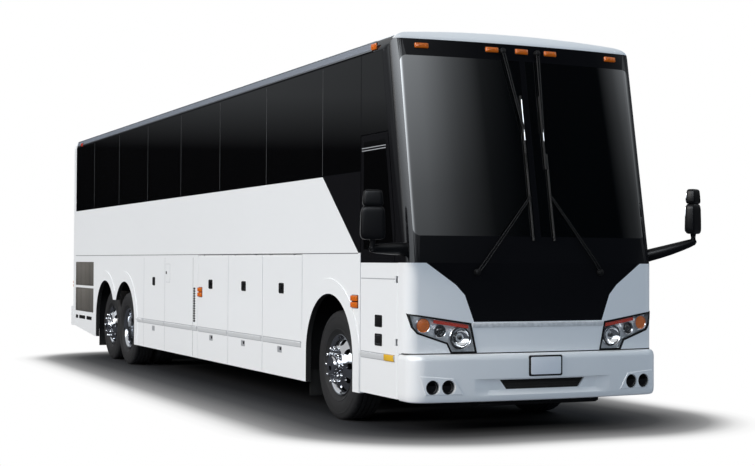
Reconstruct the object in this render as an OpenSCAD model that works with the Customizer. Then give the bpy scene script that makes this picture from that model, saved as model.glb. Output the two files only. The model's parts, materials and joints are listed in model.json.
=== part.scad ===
// Three-axle highway coach: hollow integral body, hinged doors, steered front wheels.
// Millimetres. +X is forward, +Y is left, +Z is up, and the ground is at Z = 0.

/* [Body] */
// Width over the side panels
body_w = 2590; // [2500:5:2650]
// Lower edge of the side skirts
skirt_z = 330; // [300:5:380]
// Lower edge of the skirts at the rear bumper
tail_skirt_z = 440; // [400:5:480]
// Joint between the fascia and the windshield frame
belt_z = 1550; // [1500:5:1590]
// Passenger floor surface and the seam above the baggage doors
floor_z = 1640; // [1620:5:1690]
// Passenger floor to the lower edge of the side windows
sill_rise = 760; // [700:5:820]
// Height of the side windows
window_h = 1087; // [1000:1:1150]
// Upper edge of the side windows to the roof crown
roof_rise = 203; // [190:1:230]
// Thickness of walls, doors and roof
wall_t = 50; // [40:2:60]
// Thickness of the passenger floor
floor_t = 80; // [60:5:100]
// Thickness of the bonded glass
glass_t = 8; // [6:1:12]
// Gap along the shut lines of doors and panes
shut_gap = 8; // [6:1:10]

/* [Roof] */
// Radius of the roof crown across the body
crown_r = 13000; // [11000:100:16000]
// Radius of the cove between side and roof
cove_r = 190; // [170:5:205]

/* [Nose] */
// Fascia face to the front bumper face
bumper_reach = 90; // [70:2:110]
// Radius of the front face seen from above
nose_bow_r = 9000; // [8000:100:12000]
// Radius of the front corners seen from above
nose_corner_r = 130; // [110:5:160]
// Fascia face back to the shut line between side and nose
nose_return = 274; // [260:2:300]
// Backward lean of the windshield, in degrees
rake = 10.5; // [9:0.5:12]
// Side window heads to the lower edge of the white roof brow
brow_rise = 88; // [75:1:100]
// Fascia joint to the lower edge of the windshield glass
screen_rise = 240; // [210:5:280]
// Side window heads down to the upper edge of the windshield glass
header_drop = 67; // [50:1:100]
// Body side to the edge of the windshield glass
screen_edge = 80; // [70:5:105]
// Width of the centre post
post_w = 60; // [40:5:80]

/* [Bumpers] */
// Upper edge of the front bumper
bumper_top = 750; // [730:5:765]
// Wall of the bumpers
bumper_t = 100; // [95:5:120]
// Rear wall to the rear bumper face
tail_set = 160; // [120:5:200]
// Radius of the rear corners seen from above
tail_corner_r = 190; // [170:5:210]
// Length of the rear cap along the sides
tail_return = 330; // [300:5:380]
// Upper edge of the rear bumper
tail_bumper_top = 760; // [720:5:790]

/* [Axles] */
// Front bumper face to the front axle
front_overhang = 1950; // [1930:5:1980]
// Front axle to the drive axle
wheelbase = 8050; // [7950:10:8150]
// Gap between the drive and tag tyres
tag_gap = 139; // [134:1:184]
// Tag axle to the rear bumper face
rear_overhang = 2655; // [2500:5:2800]
// Distance of the kingpins from the front tyre's centre plane
kingpin_set = 149; // [140:1:170]
// Kingpin radius
kingpin_r = 25; // [20:1:30]
// Spindle radius
spindle_r = 55; // [45:1:60]
// Running clearance of pins in their bores
run_clear = 0.05; // [0.03:0.01:0.1]

/* [Wheels] */
// Tyre diameter
tyre_d = 1076; // [1040:2:1090]
// Tyre section width
tyre_w = 312; // [290:2:320]
// Diameter of the rim's bead seat
rim_d = 571.5; // [560:0.5:580]
// Rim width between its flanges
rim_w = 229; // [210:1:240]
// Front tyre's outer side, inboard of the body side
front_wheel_set = 90; // [80:2:110]
// Drive tyre's outer side, inboard of the body side
drive_wheel_set = 40; // [30:2:60]
// Tag tyre's outer side, inboard of the body side
tag_wheel_set = 100; // [80:2:120]
// Gap between the twin tyres
twin_gap = 38; // [24:2:50]

/* [Arches] */
// Tyre to the edge of the wheel opening
arch_gap = 62; // [52:1:66]
// Height of the centre of the wheel openings above the hubs
arch_rise = 102; // [80:2:120]
// Width of the raised flare round a wheel opening
flare_w = 150; // [120:5:160]
// Height of the flare above the panel
flare_t = 8; // [4:1:12]
// Lower end of the post between the rear wheel openings
post_end_z = 950; // [900:10:1000]

/* [Doors] */
// Front wheel opening to the rear edge of the entrance door
door_gap = 163; // [155:1:180]
// Window sill to the top of the entrance door
transom_rise = 330; // [290:5:370]
// Lower edge of the entrance door
door_low = 345; // [335:5:380]
// Front wheel opening to the first baggage door
bay_gap = 137; // [125:1:150]
// Width of one baggage door
bay_w = 1204; // [1180:1:1220]
// Baggage doors on each side
bay_count = 3; // [2:1:3]
// Body side to the engine door
engine_door_side = 445; // [400:5:500]
// Upper edge of the engine door
engine_door_top = 1700; // [1680:5:1760]
// Radius of the door hinge pins
hinge_r = 8; // [6:1:9]

/* [Windows] */
// Front axle to the first window divider, rearward
divider_set = 193; // [180:1:210]
// Distance between window dividers
window_pitch = 1650; // [1620:2:1660]
// Width of a pillar behind a divider
pillar_w = 90; // [70:5:110]
// Front axle to the foot of the dark shoulder's slope
shoulder_foot = 709; // [690:1:730]

/* [Interior] */
// Height of the driver's platform
platform_z = 1080; // [1040:5:1120]
// Distance between seat rows
row_pitch = 790; // [770:5:800]
// Width of a double seat
seat_w = 930; // [880:5:950]

/* [Hidden] */
$fn = 64;
big_fn = 720;
half_w = body_w / 2;
wheel_z = tyre_d / 2;
tag_spacing = tyre_d + tag_gap;
twin_pitch = tyre_w + twin_gap;
body_len = front_overhang + wheelbase + tag_spacing + rear_overhang;
sill_z = floor_z + sill_rise;
head_z = sill_z + window_h;
roof_z = head_z + roof_rise;
brow_z = head_z + brow_rise;
screen_low = belt_z + screen_rise;
screen_top = head_z - header_drop;
screen_half_w = half_w - screen_edge;
door_top = sill_z + transom_rise;
arch_r = tyre_d / 2 + arch_gap;
arch_z = wheel_z + arch_rise;
bumper_x = body_len / 2;
front_x = body_len / 2 - front_overhang;
drive_x = front_x - wheelbase;
tag_x = drive_x - tag_spacing;
nose_x = bumper_x - bumper_reach;
seam_x = nose_x - nose_return;
tail_x = -body_len / 2 + tail_set;
tail_seam_x = tail_x + tail_return;
door_back_x = front_x + arch_r + door_gap;
bay_front_x = front_x - arch_r - bay_gap;
bay_back_x = bay_front_x - bay_count * bay_w;
divider_x = front_x - divider_set;
rear_room = 1000;
window_count = floor((divider_x - tail_seam_x - rear_room) / window_pitch);
last_divider_x = divider_x - window_count * window_pitch;
engine_door_w = body_w - 2 * engine_door_side;
seat_fit = 0.5;
recess_w = half_w - wall_t - shut_gap;

// Tyre centres from the centre line; twin tyres count from the outer one
front_y = half_w - front_wheel_set - tyre_w / 2;
drive_y = half_w - drive_wheel_set - tyre_w / 2;
tag_y = half_w - tag_wheel_set - tyre_w / 2;
kingpin_y = front_y - kingpin_set;

// Underframe sizes
liner_t = 15;
liner_half = arch_r + 70;
liner_low = 450;
liner_top = arch_z + arch_r + 60;
liner_in = half_w - 775;
rail_y = liner_in - 240;
rail_w = 100;
rail_low = 800;
rail_h = 150;
bay_floor_low = 400;
bay_floor_t = 50;
bulkhead_t = 50;
bulkhead_front_x = front_x - liner_half - 20;
bulkhead_back_x = drive_x + liner_half + 20;
rail_end_x = nose_x - 160;
cross_w = 60;
tow_r = 22;
tow_w = 40;
tow_x = rail_end_x;
tow_lug_r = 60;
jack_x = tag_x - 1620;
jack_l = 160;
jack_t = 20;
tow_z = 400;

// Hinge sizes
tab_w = 40;
tab_t = 24;
notch_w = 60;
notch_h = 40;
pin_reach = 18;
door_axis_x = seam_x - shut_gap / 2 - wall_t / 2;
door_axis_y = half_w - wall_t / 2;
door_tab_up = 500;
door_tab_down = 150;
door_tab_z = [door_low + door_tab_up, belt_z - door_tab_down];
bay_axis_z = floor_z - shut_gap - wall_t / 2;
bay_tab_at = [0.2, 0.8];
engine_axis_z = engine_door_top - shut_gap - wall_t / 2;
engine_plate_x = tail_x;
engine_axis_x = engine_plate_x + wall_t / 2;
engine_door_low = tail_bumper_top + shut_gap;
engine_tab_y = [-500, 500];

// Rear window, half width and heights
rear_glass = [half_w - 345, sill_z - 70, head_z - 257];
// Side grilles behind the tag wheel: x ends from the rear seam, and the z ends of each
grille_x = [40, tag_x - arch_r - flare_w - tail_seam_x - 75];
grille_z = [[703, 1097], [1137, 1530]];
fin_count = 18;

// Height where the raked line of the nose stands at a given z
function rake_x(z) = seam_x - (z - belt_z) * tan(rake);

// Bowed outline along +X with rounded corners, drawn from base to tip
module bow2d(inset, tip, bow_r, corner_r, base) {
  cy = half_w - corner_r;
  cx = tip - bow_r + sqrt(pow(bow_r - corner_r, 2) - cy * cy);
  ux = (cx - tip + bow_r) / (bow_r - corner_r);
  uy = cy / (bow_r - corner_r);
  tx = tip - bow_r + ux * (bow_r - inset);
  ty = uy * (bow_r - inset);
  hw = half_w - inset;
  polygon([[base, -hw], [cx, -hw], [tx, -ty], [tx, ty], [cx, hw], [base, hw]]);
  intersection() {
    translate([tip - bow_r, 0]) circle(r = bow_r - inset, $fn = big_fn);
    translate([tx, -ty]) square([bow_r, 2 * ty]);
  }
  for (s = [-1, 1]) translate([cx, s * cy]) intersection() {
    circle(r = corner_r - inset);
    translate([0, -corner_r]) square([corner_r, 2 * corner_r]);
  }
}

// Drawing planes: (y, z) drawn along X, and (x, z) drawn as a plate on the right side
module along_x(x0, x1) translate([x0, 0, 0]) rotate([90, 0, 90]) linear_extrude(x1 - x0) children();
module right_plate(depth0, depth1)
  translate([0, -half_w + depth1, 0]) rotate([90, 0, 0]) linear_extrude(depth1 - depth0) children();
module box(lo, hi) translate(lo) cube(hi - lo);
module on_side(left) mirror([0, left ? 1 : 0, 0]) children();
module rect(x0, z0, x1, z1) translate([x0, z0]) square([x1 - x0, z1 - z0]);

// Cross-section under the roof: the cove and crown trim it only above the straight side
cove_z = roof_z - crown_r + sqrt(pow(crown_r - cove_r, 2) - pow(half_w - cove_r, 2));
module headroom2d(inset, low) {
  rotate(90) bow2d(inset, roof_z, crown_r, cove_r, low);
  rect(-half_w - 100, low, half_w + 100, cove_z + 3);
}
// Nose outline leaned back from the belt line, and a wall of it between two insets
nose_back = -3000;
module lean() translate([nose_x, 0, belt_z]) rotate([0, -rake, 0]) linear_extrude(roof_z) children();
module nose2d(inset) bow2d(inset, 0, nose_bow_r, nose_corner_r, nose_back);
// The same outline in short flats, for the joint with the roof's own curves
function arc(c, r, a0, a1, n) =
  [for (i = [0 : n]) let (a = a0 + (a1 - a0) * i / n) c + r * [cos(a), sin(a)]];
module nose_flats2d(inset, base) {
  cy = half_w - nose_corner_r;
  turn = asin(cy / (nose_bow_r - nose_corner_r));
  cx = -nose_bow_r + (nose_bow_r - nose_corner_r) * cos(turn);
  r = nose_corner_r - inset;
  polygon(concat([[base, inset - half_w]], arc([cx, -cy], r, -90, -turn, 6),
    arc([-nose_bow_r, 0], nose_bow_r - inset, -turn, turn, 16),
    arc([cx, cy], r, turn, 90, 6), [[base, half_w - inset]]));
}
module nose_wall(outer, inner) lean() difference() {
  nose2d(outer);
  bow2d(inner, 0, nose_bow_r, nose_corner_r, nose_back - 100);
}
// Frame foot: an upright edge from the belt to the rake line, so that the door's hinge side swings clear
foot_x = door_axis_x - 30;
function rake_z(x) = belt_z + (seam_x - x) / tan(rake);
module nose_zone(low, high) rotate([90, 0, 0]) translate([0, 0, -half_w - 50]) linear_extrude(body_w + 100)
  polygon([[seam_x, low], [nose_x + 500, low], [nose_x + 500, high], [rake_x(high), high],
    [foot_x, rake_z(foot_x)], [foot_x, low + shut_gap], [seam_x, low + shut_gap]]);
// Tail outline: flat rear face with rounded corners
module tail2d(inset) {
  r = tail_corner_r - inset;
  cx = tail_x + tail_corner_r;
  cy = half_w - tail_corner_r;
  translate([cx, -half_w + inset]) square([front_x - cx, body_w - 2 * inset]);
  translate([tail_x + inset, -cy]) square([tail_corner_r, 2 * cy]);
  for (s = [-1, 1]) translate([cx, s * cy]) circle(r = r);
}
// The same outline with its corners in short flats, for the joint with the roof's own curves
module tail_flats2d() {
  cx = tail_x + tail_corner_r;
  cy = half_w - tail_corner_r;
  polygon(concat([[front_x, half_w]], arc([cx, cy], tail_corner_r, 90, 180, 8),
    arc([cx, -cy], tail_corner_r, 180, 270, 8), [[front_x, -half_w]]));
}

// Structure
// A length of chassis rail, or a pad of its width
module rail_piece(s, x0, x1, z0, z1)
  box([x0, s * rail_y - rail_w / 2, z0], [x1, s * rail_y + rail_w / 2, z1]);
module underframe() color("dimgray") {
  for (s = [-1, 1]) {
    rail_piece(s, bulkhead_front_x, rail_end_x, rail_low, rail_low + rail_h);
    rail_piece(s, tail_x + wall_t, bulkhead_back_x, rail_low, rail_low + rail_h);
    translate([tow_x, s * rail_y, tow_z]) difference() {
      union() {
        cylinder(r = tow_lug_r, h = tow_w);
        box([-2 * cross_w, -tow_lug_r, 0], [0, tow_lug_r, tow_w]);
        box([-2 * cross_w, -tow_w / 2, 0], [-tow_lug_r - 10, tow_w / 2, rail_low - tow_z + 10]);
      }
      translate([0, 0, -1]) cylinder(r = tow_r, h = tow_w + 2);
    }
    rail_piece(s, jack_x - jack_l / 2, jack_x + jack_l / 2, rail_low - jack_t, rail_low + 1);
  }
  box([bulkhead_back_x, -recess_w, bay_floor_low], [bulkhead_front_x, recess_w, bay_floor_low + bay_floor_t]);
  for (x = [bulkhead_front_x - bulkhead_t, bay_back_x - bulkhead_t - shut_gap, bulkhead_back_x])
    box([x, -recess_w, bay_floor_low], [x + bulkhead_t, recess_w, floor_z - floor_t]);
  box([rail_end_x - cross_w, -rail_y, rail_low], [rail_end_x, rail_y, rail_low + rail_h]);
}

module passenger_floor() color("slategray") {
  difference() {
    box([tail_seam_x, -half_w + wall_t, floor_z - floor_t], [door_back_x - shut_gap, half_w - wall_t, floor_z]);
    for (s = [-1, 1]) translate([(bay_front_x + bay_back_x) / 2, s * (recess_w + 50), floor_z - floor_t / 2])
      cube([bay_count * bay_w + 20, 100, floor_t + 2], center = true);
  }
  for (left = [false, true], bay = [0 : bay_count - 1], at = bay_tab_at)
    on_side(left) translate([bay_front_x - (bay + at) * bay_w, -door_axis_y, bay_axis_z]) {
      box([-tab_w / 2, 0, -tab_t / 2], [tab_w / 2, half_w - recess_w - wall_t / 2 + 20, tab_t / 2]);
      rotate([0, 90, 0]) cylinder(r = tab_t / 2, h = tab_w, center = true);
      rotate([0, 90, 0]) cylinder(r = hinge_r, h = notch_w + 2 * pin_reach, center = true);
    }
}

step_rise = 310;
step_run = 300;
step_count = 2;
stair_in = 400;
plank_t = 40;
module driver_platform() color("gray") {
  x0 = door_back_x - shut_gap;
  x1 = seam_x - 20;
  box([x0, -stair_in, platform_z - plank_t], [nose_x - 260, half_w - wall_t, platform_z]);
  box([x0, -half_w + wall_t, platform_z - plank_t], [x0 + plank_t, half_w - wall_t, floor_z]);
  for (n = [1 : step_count]) {
    tread_z = platform_z - n * step_rise;
    back_y = -stair_in - (n - 1) * step_run;
    box([x0, n == step_count ? -recess_w : back_y - step_run, tread_z - plank_t],
      [x1, back_y + plank_t, tread_z]);
    box([x0, back_y, tread_z - plank_t], [x1, back_y + plank_t, tread_z + step_rise]);
  }
}

module section2d(inset, low) intersection() {
  rotate(90) bow2d(inset, roof_z, crown_r, cove_r, floor_z);
  rect(-half_w - 10, low, half_w + 10, roof_z + 10);
}
module roof_skin2d() difference() {
  section2d(0, head_z);
  section2d(wall_t, head_z - 1);
}
module roof() color("white") difference() {
  union() {
    intersection() {
      along_x(tail_x + wall_t, front_x) roof_skin2d();
      translate([0, 0, head_z - 10]) linear_extrude(roof_z) tail2d(0);
    }
    intersection() {
      along_x(front_x, nose_x) roof_skin2d();
      lean() nose_flats2d(0, nose_back);
    }
    intersection() {
      lean() difference() {
        nose_flats2d(0, nose_back);
        nose_flats2d(wall_t, nose_back - 100);
      }
      along_x(front_x, nose_x) section2d(0, brow_z);
    }
  }
  nose_zone(belt_z, brow_z);
}

// Side walls with their window openings
module side_wall_outline() polygon([
  [tail_seam_x, floor_z], [front_x + shoulder_foot, floor_z], [divider_x, sill_z],
  [door_back_x - shut_gap, sill_z], [door_back_x - shut_gap, door_top + shut_gap],
  [rake_x(door_top + shut_gap) - seat_fit, door_top + shut_gap],
  [rake_x(head_z) - seat_fit, head_z], [tail_seam_x, head_z]]);
module pane2d(x0, x1, inset) rect(x0 + inset, sill_z + inset, x1 - inset, head_z - inset);
module panes2d(inset) {
  for (n = [0 : window_count - 1])
    pane2d(divider_x - (n + 1) * window_pitch, divider_x - n * window_pitch, inset);
  pane2d(tail_seam_x + shut_gap, last_divider_x, inset);
  pane2d(divider_x, door_back_x - shut_gap, inset);
  low = door_top + shut_gap + inset;
  polygon([[door_back_x + inset, low], [rake_x(low) - inset, low],
    [rake_x(head_z - inset) - inset, head_z - inset], [door_back_x + inset, head_z - inset]]);
}
module side_wall() difference() {
  right_plate(0, wall_t) side_wall_outline();
  right_plate(-1, glass_t) panes2d(shut_gap / 2);
  right_plate(0, wall_t + 1) panes2d(pillar_w / 2);
}
module side_glass() right_plate(0, glass_t) panes2d(shut_gap / 2 + seat_fit);
module shoulder() right_plate(0, wall_t) polygon([
  [front_x + shoulder_foot, floor_z], [door_back_x - shut_gap, floor_z],
  [door_back_x - shut_gap, sill_z], [divider_x, sill_z]]);
module side_wall_right() color("white") side_wall();
module side_wall_left() color("white") on_side(true) side_wall();
module side_glass_right() color("black") side_glass();
module side_glass_left() color("black") on_side(true) {
  side_glass();
  right_plate(0, glass_t) door_glass2d(seat_fit);
}
module shoulders() color("black") for (left = [false, true]) on_side(left) shoulder();

// Lower side panels with the wheel openings
module arch2d(x, r) {
  translate([x, arch_z]) circle(r = r);
  rect(x - r, skirt_z - 1, x + r, arch_z);
}
module rear_arches2d(r) for (x = [drive_x, tag_x]) arch2d(x, r);
module lower_outline() {
  rect(bay_front_x + shut_gap / 2, skirt_z, door_back_x - shut_gap, floor_z);
  polygon([[tail_seam_x, floor_z], [tail_seam_x, tail_skirt_z], [tag_x - arch_r - flare_w, skirt_z],
    [bay_back_x - shut_gap / 2, skirt_z], [bay_back_x - shut_gap / 2, floor_z]]);
}
module grille_cut() for (z = grille_z)
  rect(tail_seam_x + grille_x[0], z[0], tail_seam_x + grille_x[1], z[1]);
module lower_side() difference() {
  union() {
    right_plate(0, wall_t) lower_outline();
    right_plate(-flare_t, 1) intersection() {
      union() {
        arch2d(front_x, arch_r + flare_w);
        rear_arches2d(arch_r + flare_w);
      }
      union() {
        rect(bay_front_x + shut_gap / 2, skirt_z, door_back_x - shut_gap, floor_z);
        rect(tail_seam_x + grille_x[1] + 20, skirt_z, bay_back_x - shut_gap, floor_z);
      }
    }
  }
  right_plate(-flare_t - 1, wall_t + 1) {
    arch2d(front_x, arch_r);
    rear_arches2d(arch_r);
    rect((drive_x + tag_x) / 2 - 200, skirt_z - 1, (drive_x + tag_x) / 2 + 200, post_end_z);
    grille_cut();
  }
}
module lower_side_right() color("white") lower_side();
module lower_side_left() color("white") on_side(true) lower_side();

module side_grilles() color("gray") for (left = [false, true]) on_side(left)
  right_plate(10, 35) for (z = grille_z) {
    x0 = tail_seam_x + grille_x[0];
    x1 = tail_seam_x + grille_x[1];
    difference() {
      rect(x0, z[0], x1, z[1]);
      for (n = [0 : fin_count - 1]) {
        cell = (x1 - x0 - 30) / fin_count;
        rect(x0 + 15 + n * cell + 8, z[0] + 20, x0 + 15 + (n + 1) * cell - 8, z[1] - 20);
      }
    }
  }

// Nose
module fascia_shell() difference() {
  translate([0, 0, bumper_top]) linear_extrude(belt_z - bumper_top) difference() {
    bow2d(0, nose_x, nose_bow_r, nose_corner_r, seam_x + shut_gap / 2);
    bow2d(wall_t, nose_x, nose_bow_r, nose_corner_r, seam_x - 100);
  }
}
// Headlamp corners, from the body side and above the bumper; panel corners, from the side and above the belt
lamp_table = [[20, 355], [599, 268], [655, 5], [409, 5], [368, 88], [95, 179], [50, 235]];
panel_table = [[177, 1], [455, -194], [540, -285], [628, -521]];
module lamp2d() for (m = [0, 1]) mirror([m, 0])
  polygon([for (c = lamp_table) [half_w - c[0], bumper_top + c[1]]]);
module panel2d() polygon([
  for (c = panel_table) [c[0] - half_w, belt_z + c[1]],
  for (n = [len(panel_table) - 1 : -1 : 0]) [half_w - panel_table[n][0], belt_z + panel_table[n][1]]]);
module nose_cut() along_x(seam_x - 300, nose_x + 300) children();
module front_fascia() color("white") {
  difference() {
    fascia_shell();
    nose_cut() lamp2d();
    nose_cut() panel2d();
  }
  for (z = door_tab_z) translate([door_axis_x, -door_axis_y, z]) {
    box([0, -tab_t / 2, -tab_w / 2], [seam_x - door_axis_x + 30, tab_t / 2, tab_w / 2]);
    cylinder(r = tab_t / 2, h = tab_w, center = true);
    cylinder(r = hinge_r, h = notch_w + 2 * pin_reach, center = true);
  }
}
module front_panel() color("black") intersection() {
  fascia_shell();
  nose_cut() panel2d();
}
module headlamps() color("lightgray") intersection() {
  fascia_shell();
  nose_cut() lamp2d();
}

module screen2d(inset) for (m = [0, 1]) mirror([m, 0]) {
  r = 60;
  y0 = post_w / 2 + inset;
  y1 = screen_half_w - inset;
  z0 = screen_low + inset;
  z1 = screen_top - inset;
  rect(y0, z0, y1 - r, z1);
  rect(y1 - r - 1, z0 + r, y1, z1 - r);
  for (z = [z0 + r, z1 - r]) translate([y1 - r, z]) circle(r = r);
}
screen_lap = 25;
module windshield_frame() color("black") difference() {
  intersection() {
    nose_wall(0, wall_t);
    nose_zone(belt_z, brow_z);
    along_x(front_x, nose_x + 100) headroom2d(0, belt_z - 100);
  }
  nose_cut() screen2d(screen_lap);
  intersection() {
    nose_cut() screen2d(0);
    nose_wall(-100, glass_t);
  }
}
module windshield() color("black") intersection() {
  nose_wall(0, glass_t);
  nose_cut() screen2d(seat_fit);
}

module front_bumper() color("white") difference() {
  translate([0, 0, skirt_z]) linear_extrude(bumper_top - skirt_z) difference() {
    bow2d(0, bumper_x, nose_bow_r, nose_corner_r + 30, seam_x + shut_gap / 2);
    bow2d(bumper_t, bumper_x, nose_bow_r, nose_corner_r + 30, seam_x - 100);
  }
  along_x(bumper_x - bumper_t + intake_back, bumper_x + 10) intake2d();
  nose_cut() fog2d(fog_r);
  box([bumper_x - plate_t, -plate_size[0] / 2 - seat_fit, plate_z - seat_fit],
      [bumper_x + 10, plate_size[0] / 2 + seat_fit, plate_z + plate_size[1] + seat_fit]);
}
intake_back = 20;
plate_size = [310, 155];
plate_t = 12;
plate_z = 560;
fog_r = 62;
fog_y = [half_w - 345, half_w - 200];
fog_z = 465;
// Intake half widths and heights, top and bottom
intake = [[half_w - 710, 540], [half_w - 795, 435]];
module intake2d() polygon([[-intake[0][0], intake[0][1]], intake[0], intake[1], [-intake[1][0], intake[1][1]]]);
module fog2d(r) for (s = [-1, 1], y = fog_y) translate([s * y, fog_z]) circle(r = r);
module fog_lamps() color("black") for (s = [-1, 1], y = fog_y)
  translate([bumper_x - 160, s * y, fog_z]) rotate([0, 90, 0]) cylinder(r = fog_r - 0.3, h = 85);

module front_plate() color("white") box([bumper_x - plate_t, -plate_size[0] / 2, plate_z],
  [bumper_x - 1, plate_size[0] / 2, plate_z + plate_size[1]]);

// Lamp tables: y of the header lamps; x and z of the side lamps
header_lamp_y = [285 - half_w, -340, 0, 340, half_w - 285];
header_lamp_z = (screen_top + brow_z) / 2;
side_lamps = [[front_x + 640, 1210], [front_x + 640, 1160], [bay_back_x + 110, 1190], [bay_back_x + 110, 1140]];
lamp_proud = 12;
module marker_lamps() color("orange") {
  intersection() {
    nose_wall(-lamp_proud, 0);
    nose_cut() for (y = header_lamp_y) translate([y, header_lamp_z]) square([110, 40], center = true);
    box([front_x + 1000, -half_w, header_lamp_z - 100], [nose_x, half_w, header_lamp_z + 100]);
  }
  for (left = [false, true], lamp = side_lamps) on_side(left) right_plate(-lamp_proud, 0)
    translate(lamp) square([40, 40], center = true);
}

// Rear
module rear_cut() along_x(tail_x - 200, tail_x + wall_t + 50) children();
module rear_glass2d(inset)
  rect(-rear_glass[0] + inset, rear_glass[1] + inset, rear_glass[0] - inset, rear_glass[2] - inset);
module tail_wall2d() intersection() {
  difference() {
    tail2d(0);
    tail2d(wall_t);
  }
  translate([tail_x - 10, -half_w - 10]) square([tail_return + 10, body_w + 20]);
}
module rear_cap() color("white") {
  difference() {
    union() {
      translate([0, 0, tail_bumper_top]) linear_extrude(head_z - tail_bumper_top) tail_wall2d();
      intersection() {
        along_x(tail_x, tail_x + wall_t) section2d(0, head_z - 1);
        translate([0, 0, head_z - 10]) linear_extrude(roof_z) tail_flats2d();
      }
    }
    rear_cut() rect(-engine_door_w / 2 - shut_gap, tail_bumper_top - 1,
      engine_door_w / 2 + shut_gap, engine_door_top);
    rear_cut() rear_glass2d(pillar_w / 2);
    along_x(tail_x - 10, tail_x + glass_t) rear_glass2d(0);
  }
  for (y = engine_tab_y) translate([engine_axis_x, y, engine_axis_z]) {
    box([-tab_t / 2, -tab_w / 2, 0], [tab_t / 2, tab_w / 2, engine_door_top - engine_axis_z + 10]);
    rotate([90, 0, 0]) cylinder(r = tab_t / 2, h = tab_w, center = true);
    rotate([90, 0, 0]) cylinder(r = hinge_r, h = notch_w + 2 * pin_reach, center = true);
  }
}
module rear_window() color("black") along_x(tail_x, tail_x + glass_t) rear_glass2d(seat_fit);
module rear_bumper() color("white") translate([0, 0, tail_skirt_z])
  linear_extrude(tail_bumper_top - tail_skirt_z) difference() {
    translate([-tail_set, 0]) tail2d(0);
    translate([tail_x + 20, -half_w + wall_t]) square([body_len, body_w - 2 * wall_t]);
    translate([tail_seam_x, -half_w - 10]) square([body_len, body_w + 20]);
  }
tail_lamp_y = half_w - 275;
tail_lamp_r = 65;
tail_lamp_z = [900, 1080, 1260, 1440];
module tail_lamps() color("red") for (s = [-1, 1], z = tail_lamp_z)
  translate([tail_x - lamp_proud, s * tail_lamp_y, z]) rotate([0, 90, 0])
    cylinder(r = tail_lamp_r, h = lamp_proud);
slot_rows = 8;
slot_low = 150;
slot_pitch = 80;
slot_h = 34;
slot_edge = 80;
module engine_door() color("white") difference() {
  translate([0, engine_door_w / 2, 0]) rotate([90, 0, 0]) linear_extrude(engine_door_w) {
    rect(engine_plate_x, engine_door_low, engine_plate_x + wall_t, engine_axis_z);
    translate([engine_axis_x, engine_axis_z]) circle(r = wall_t / 2);
  }
  for (y = engine_tab_y) translate([engine_axis_x, y, engine_axis_z]) {
    box([-wall_t, -notch_w / 2, -notch_h], [wall_t, notch_w / 2, wall_t]);
    rotate([90, 0, 0]) cylinder(r = hinge_r + run_clear, h = notch_w + 2 * pin_reach + 4, center = true);
  }
  for (s = [-1, 1], n = [0 : slot_rows - 1])
    translate([engine_axis_x, s * engine_door_w / 4, engine_door_low + slot_low + n * slot_pitch])
      cube([wall_t + 2, engine_door_w / 2 - 2 * slot_edge, slot_h], center = true);
}
engine_len = 1500;
engine_w = 840;
engine_back_x = tail_x + 260;
module engine() color("dimgray") box(
  [engine_back_x, -engine_w / 2, rail_low + rail_h],
  [engine_back_x + engine_len, engine_w / 2, floor_z - floor_t]);

// Entrance door and the matching fixed panel on the driver's side
door_x0 = door_back_x + shut_gap / 2;
swing_gap = 15;
module door_upper2d() polygon([
  [door_x0, belt_z], [foot_x - swing_gap, belt_z], [foot_x - swing_gap, rake_z(foot_x)],
  [rake_x(door_top) - swing_gap, door_top], [door_x0, door_top]]);
module door_glass2d(inset) polygon([
  [door_x0 + 60 + inset, belt_z + 120 + inset], [rake_x(belt_z + 120) - 75 - inset, belt_z + 120 + inset],
  [rake_x(door_top - 60) - 75 - inset, door_top - 60 - inset], [door_x0 + 60 + inset, door_top - 60 - inset]]);
module door_leaf() difference() {
  union() {
    translate([0, 0, door_low]) linear_extrude(belt_z - door_low) {
      translate([door_x0, -half_w]) square([door_axis_x - door_x0, wall_t]);
      translate([door_axis_x, -door_axis_y]) circle(r = wall_t / 2);
    }
    right_plate(0, wall_t) door_upper2d();
  }
  right_plate(-1, glass_t) door_glass2d(0);
  right_plate(0, wall_t + 1) door_glass2d(35);
}
module entrance_door() color("white") difference() {
  door_leaf();
  for (z = door_tab_z) translate([door_axis_x, -door_axis_y, z]) {
    box([-notch_h, -wall_t, -notch_w / 2], [wall_t, wall_t, notch_w / 2]);
    cylinder(r = hinge_r + run_clear, h = notch_w + 2 * pin_reach + 4, center = true);
  }
}
module entrance_glass() color("black") right_plate(0, glass_t) door_glass2d(seat_fit);
module driver_side_panel() color("white") on_side(true) difference() {
  right_plate(0, wall_t) {
    rect(door_back_x - shut_gap, skirt_z, seam_x + shut_gap / 2, belt_z);
    polygon([[door_back_x - shut_gap, belt_z - 1], [foot_x - seat_fit, belt_z - 1],
      [foot_x - seat_fit, rake_z(foot_x)], [rake_x(door_top + shut_gap) - seat_fit, door_top + shut_gap],
      [door_back_x - shut_gap, door_top + shut_gap]]);
  }
  right_plate(-1, glass_t) door_glass2d(0);
  right_plate(0, wall_t + 1) door_glass2d(35);
}

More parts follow.
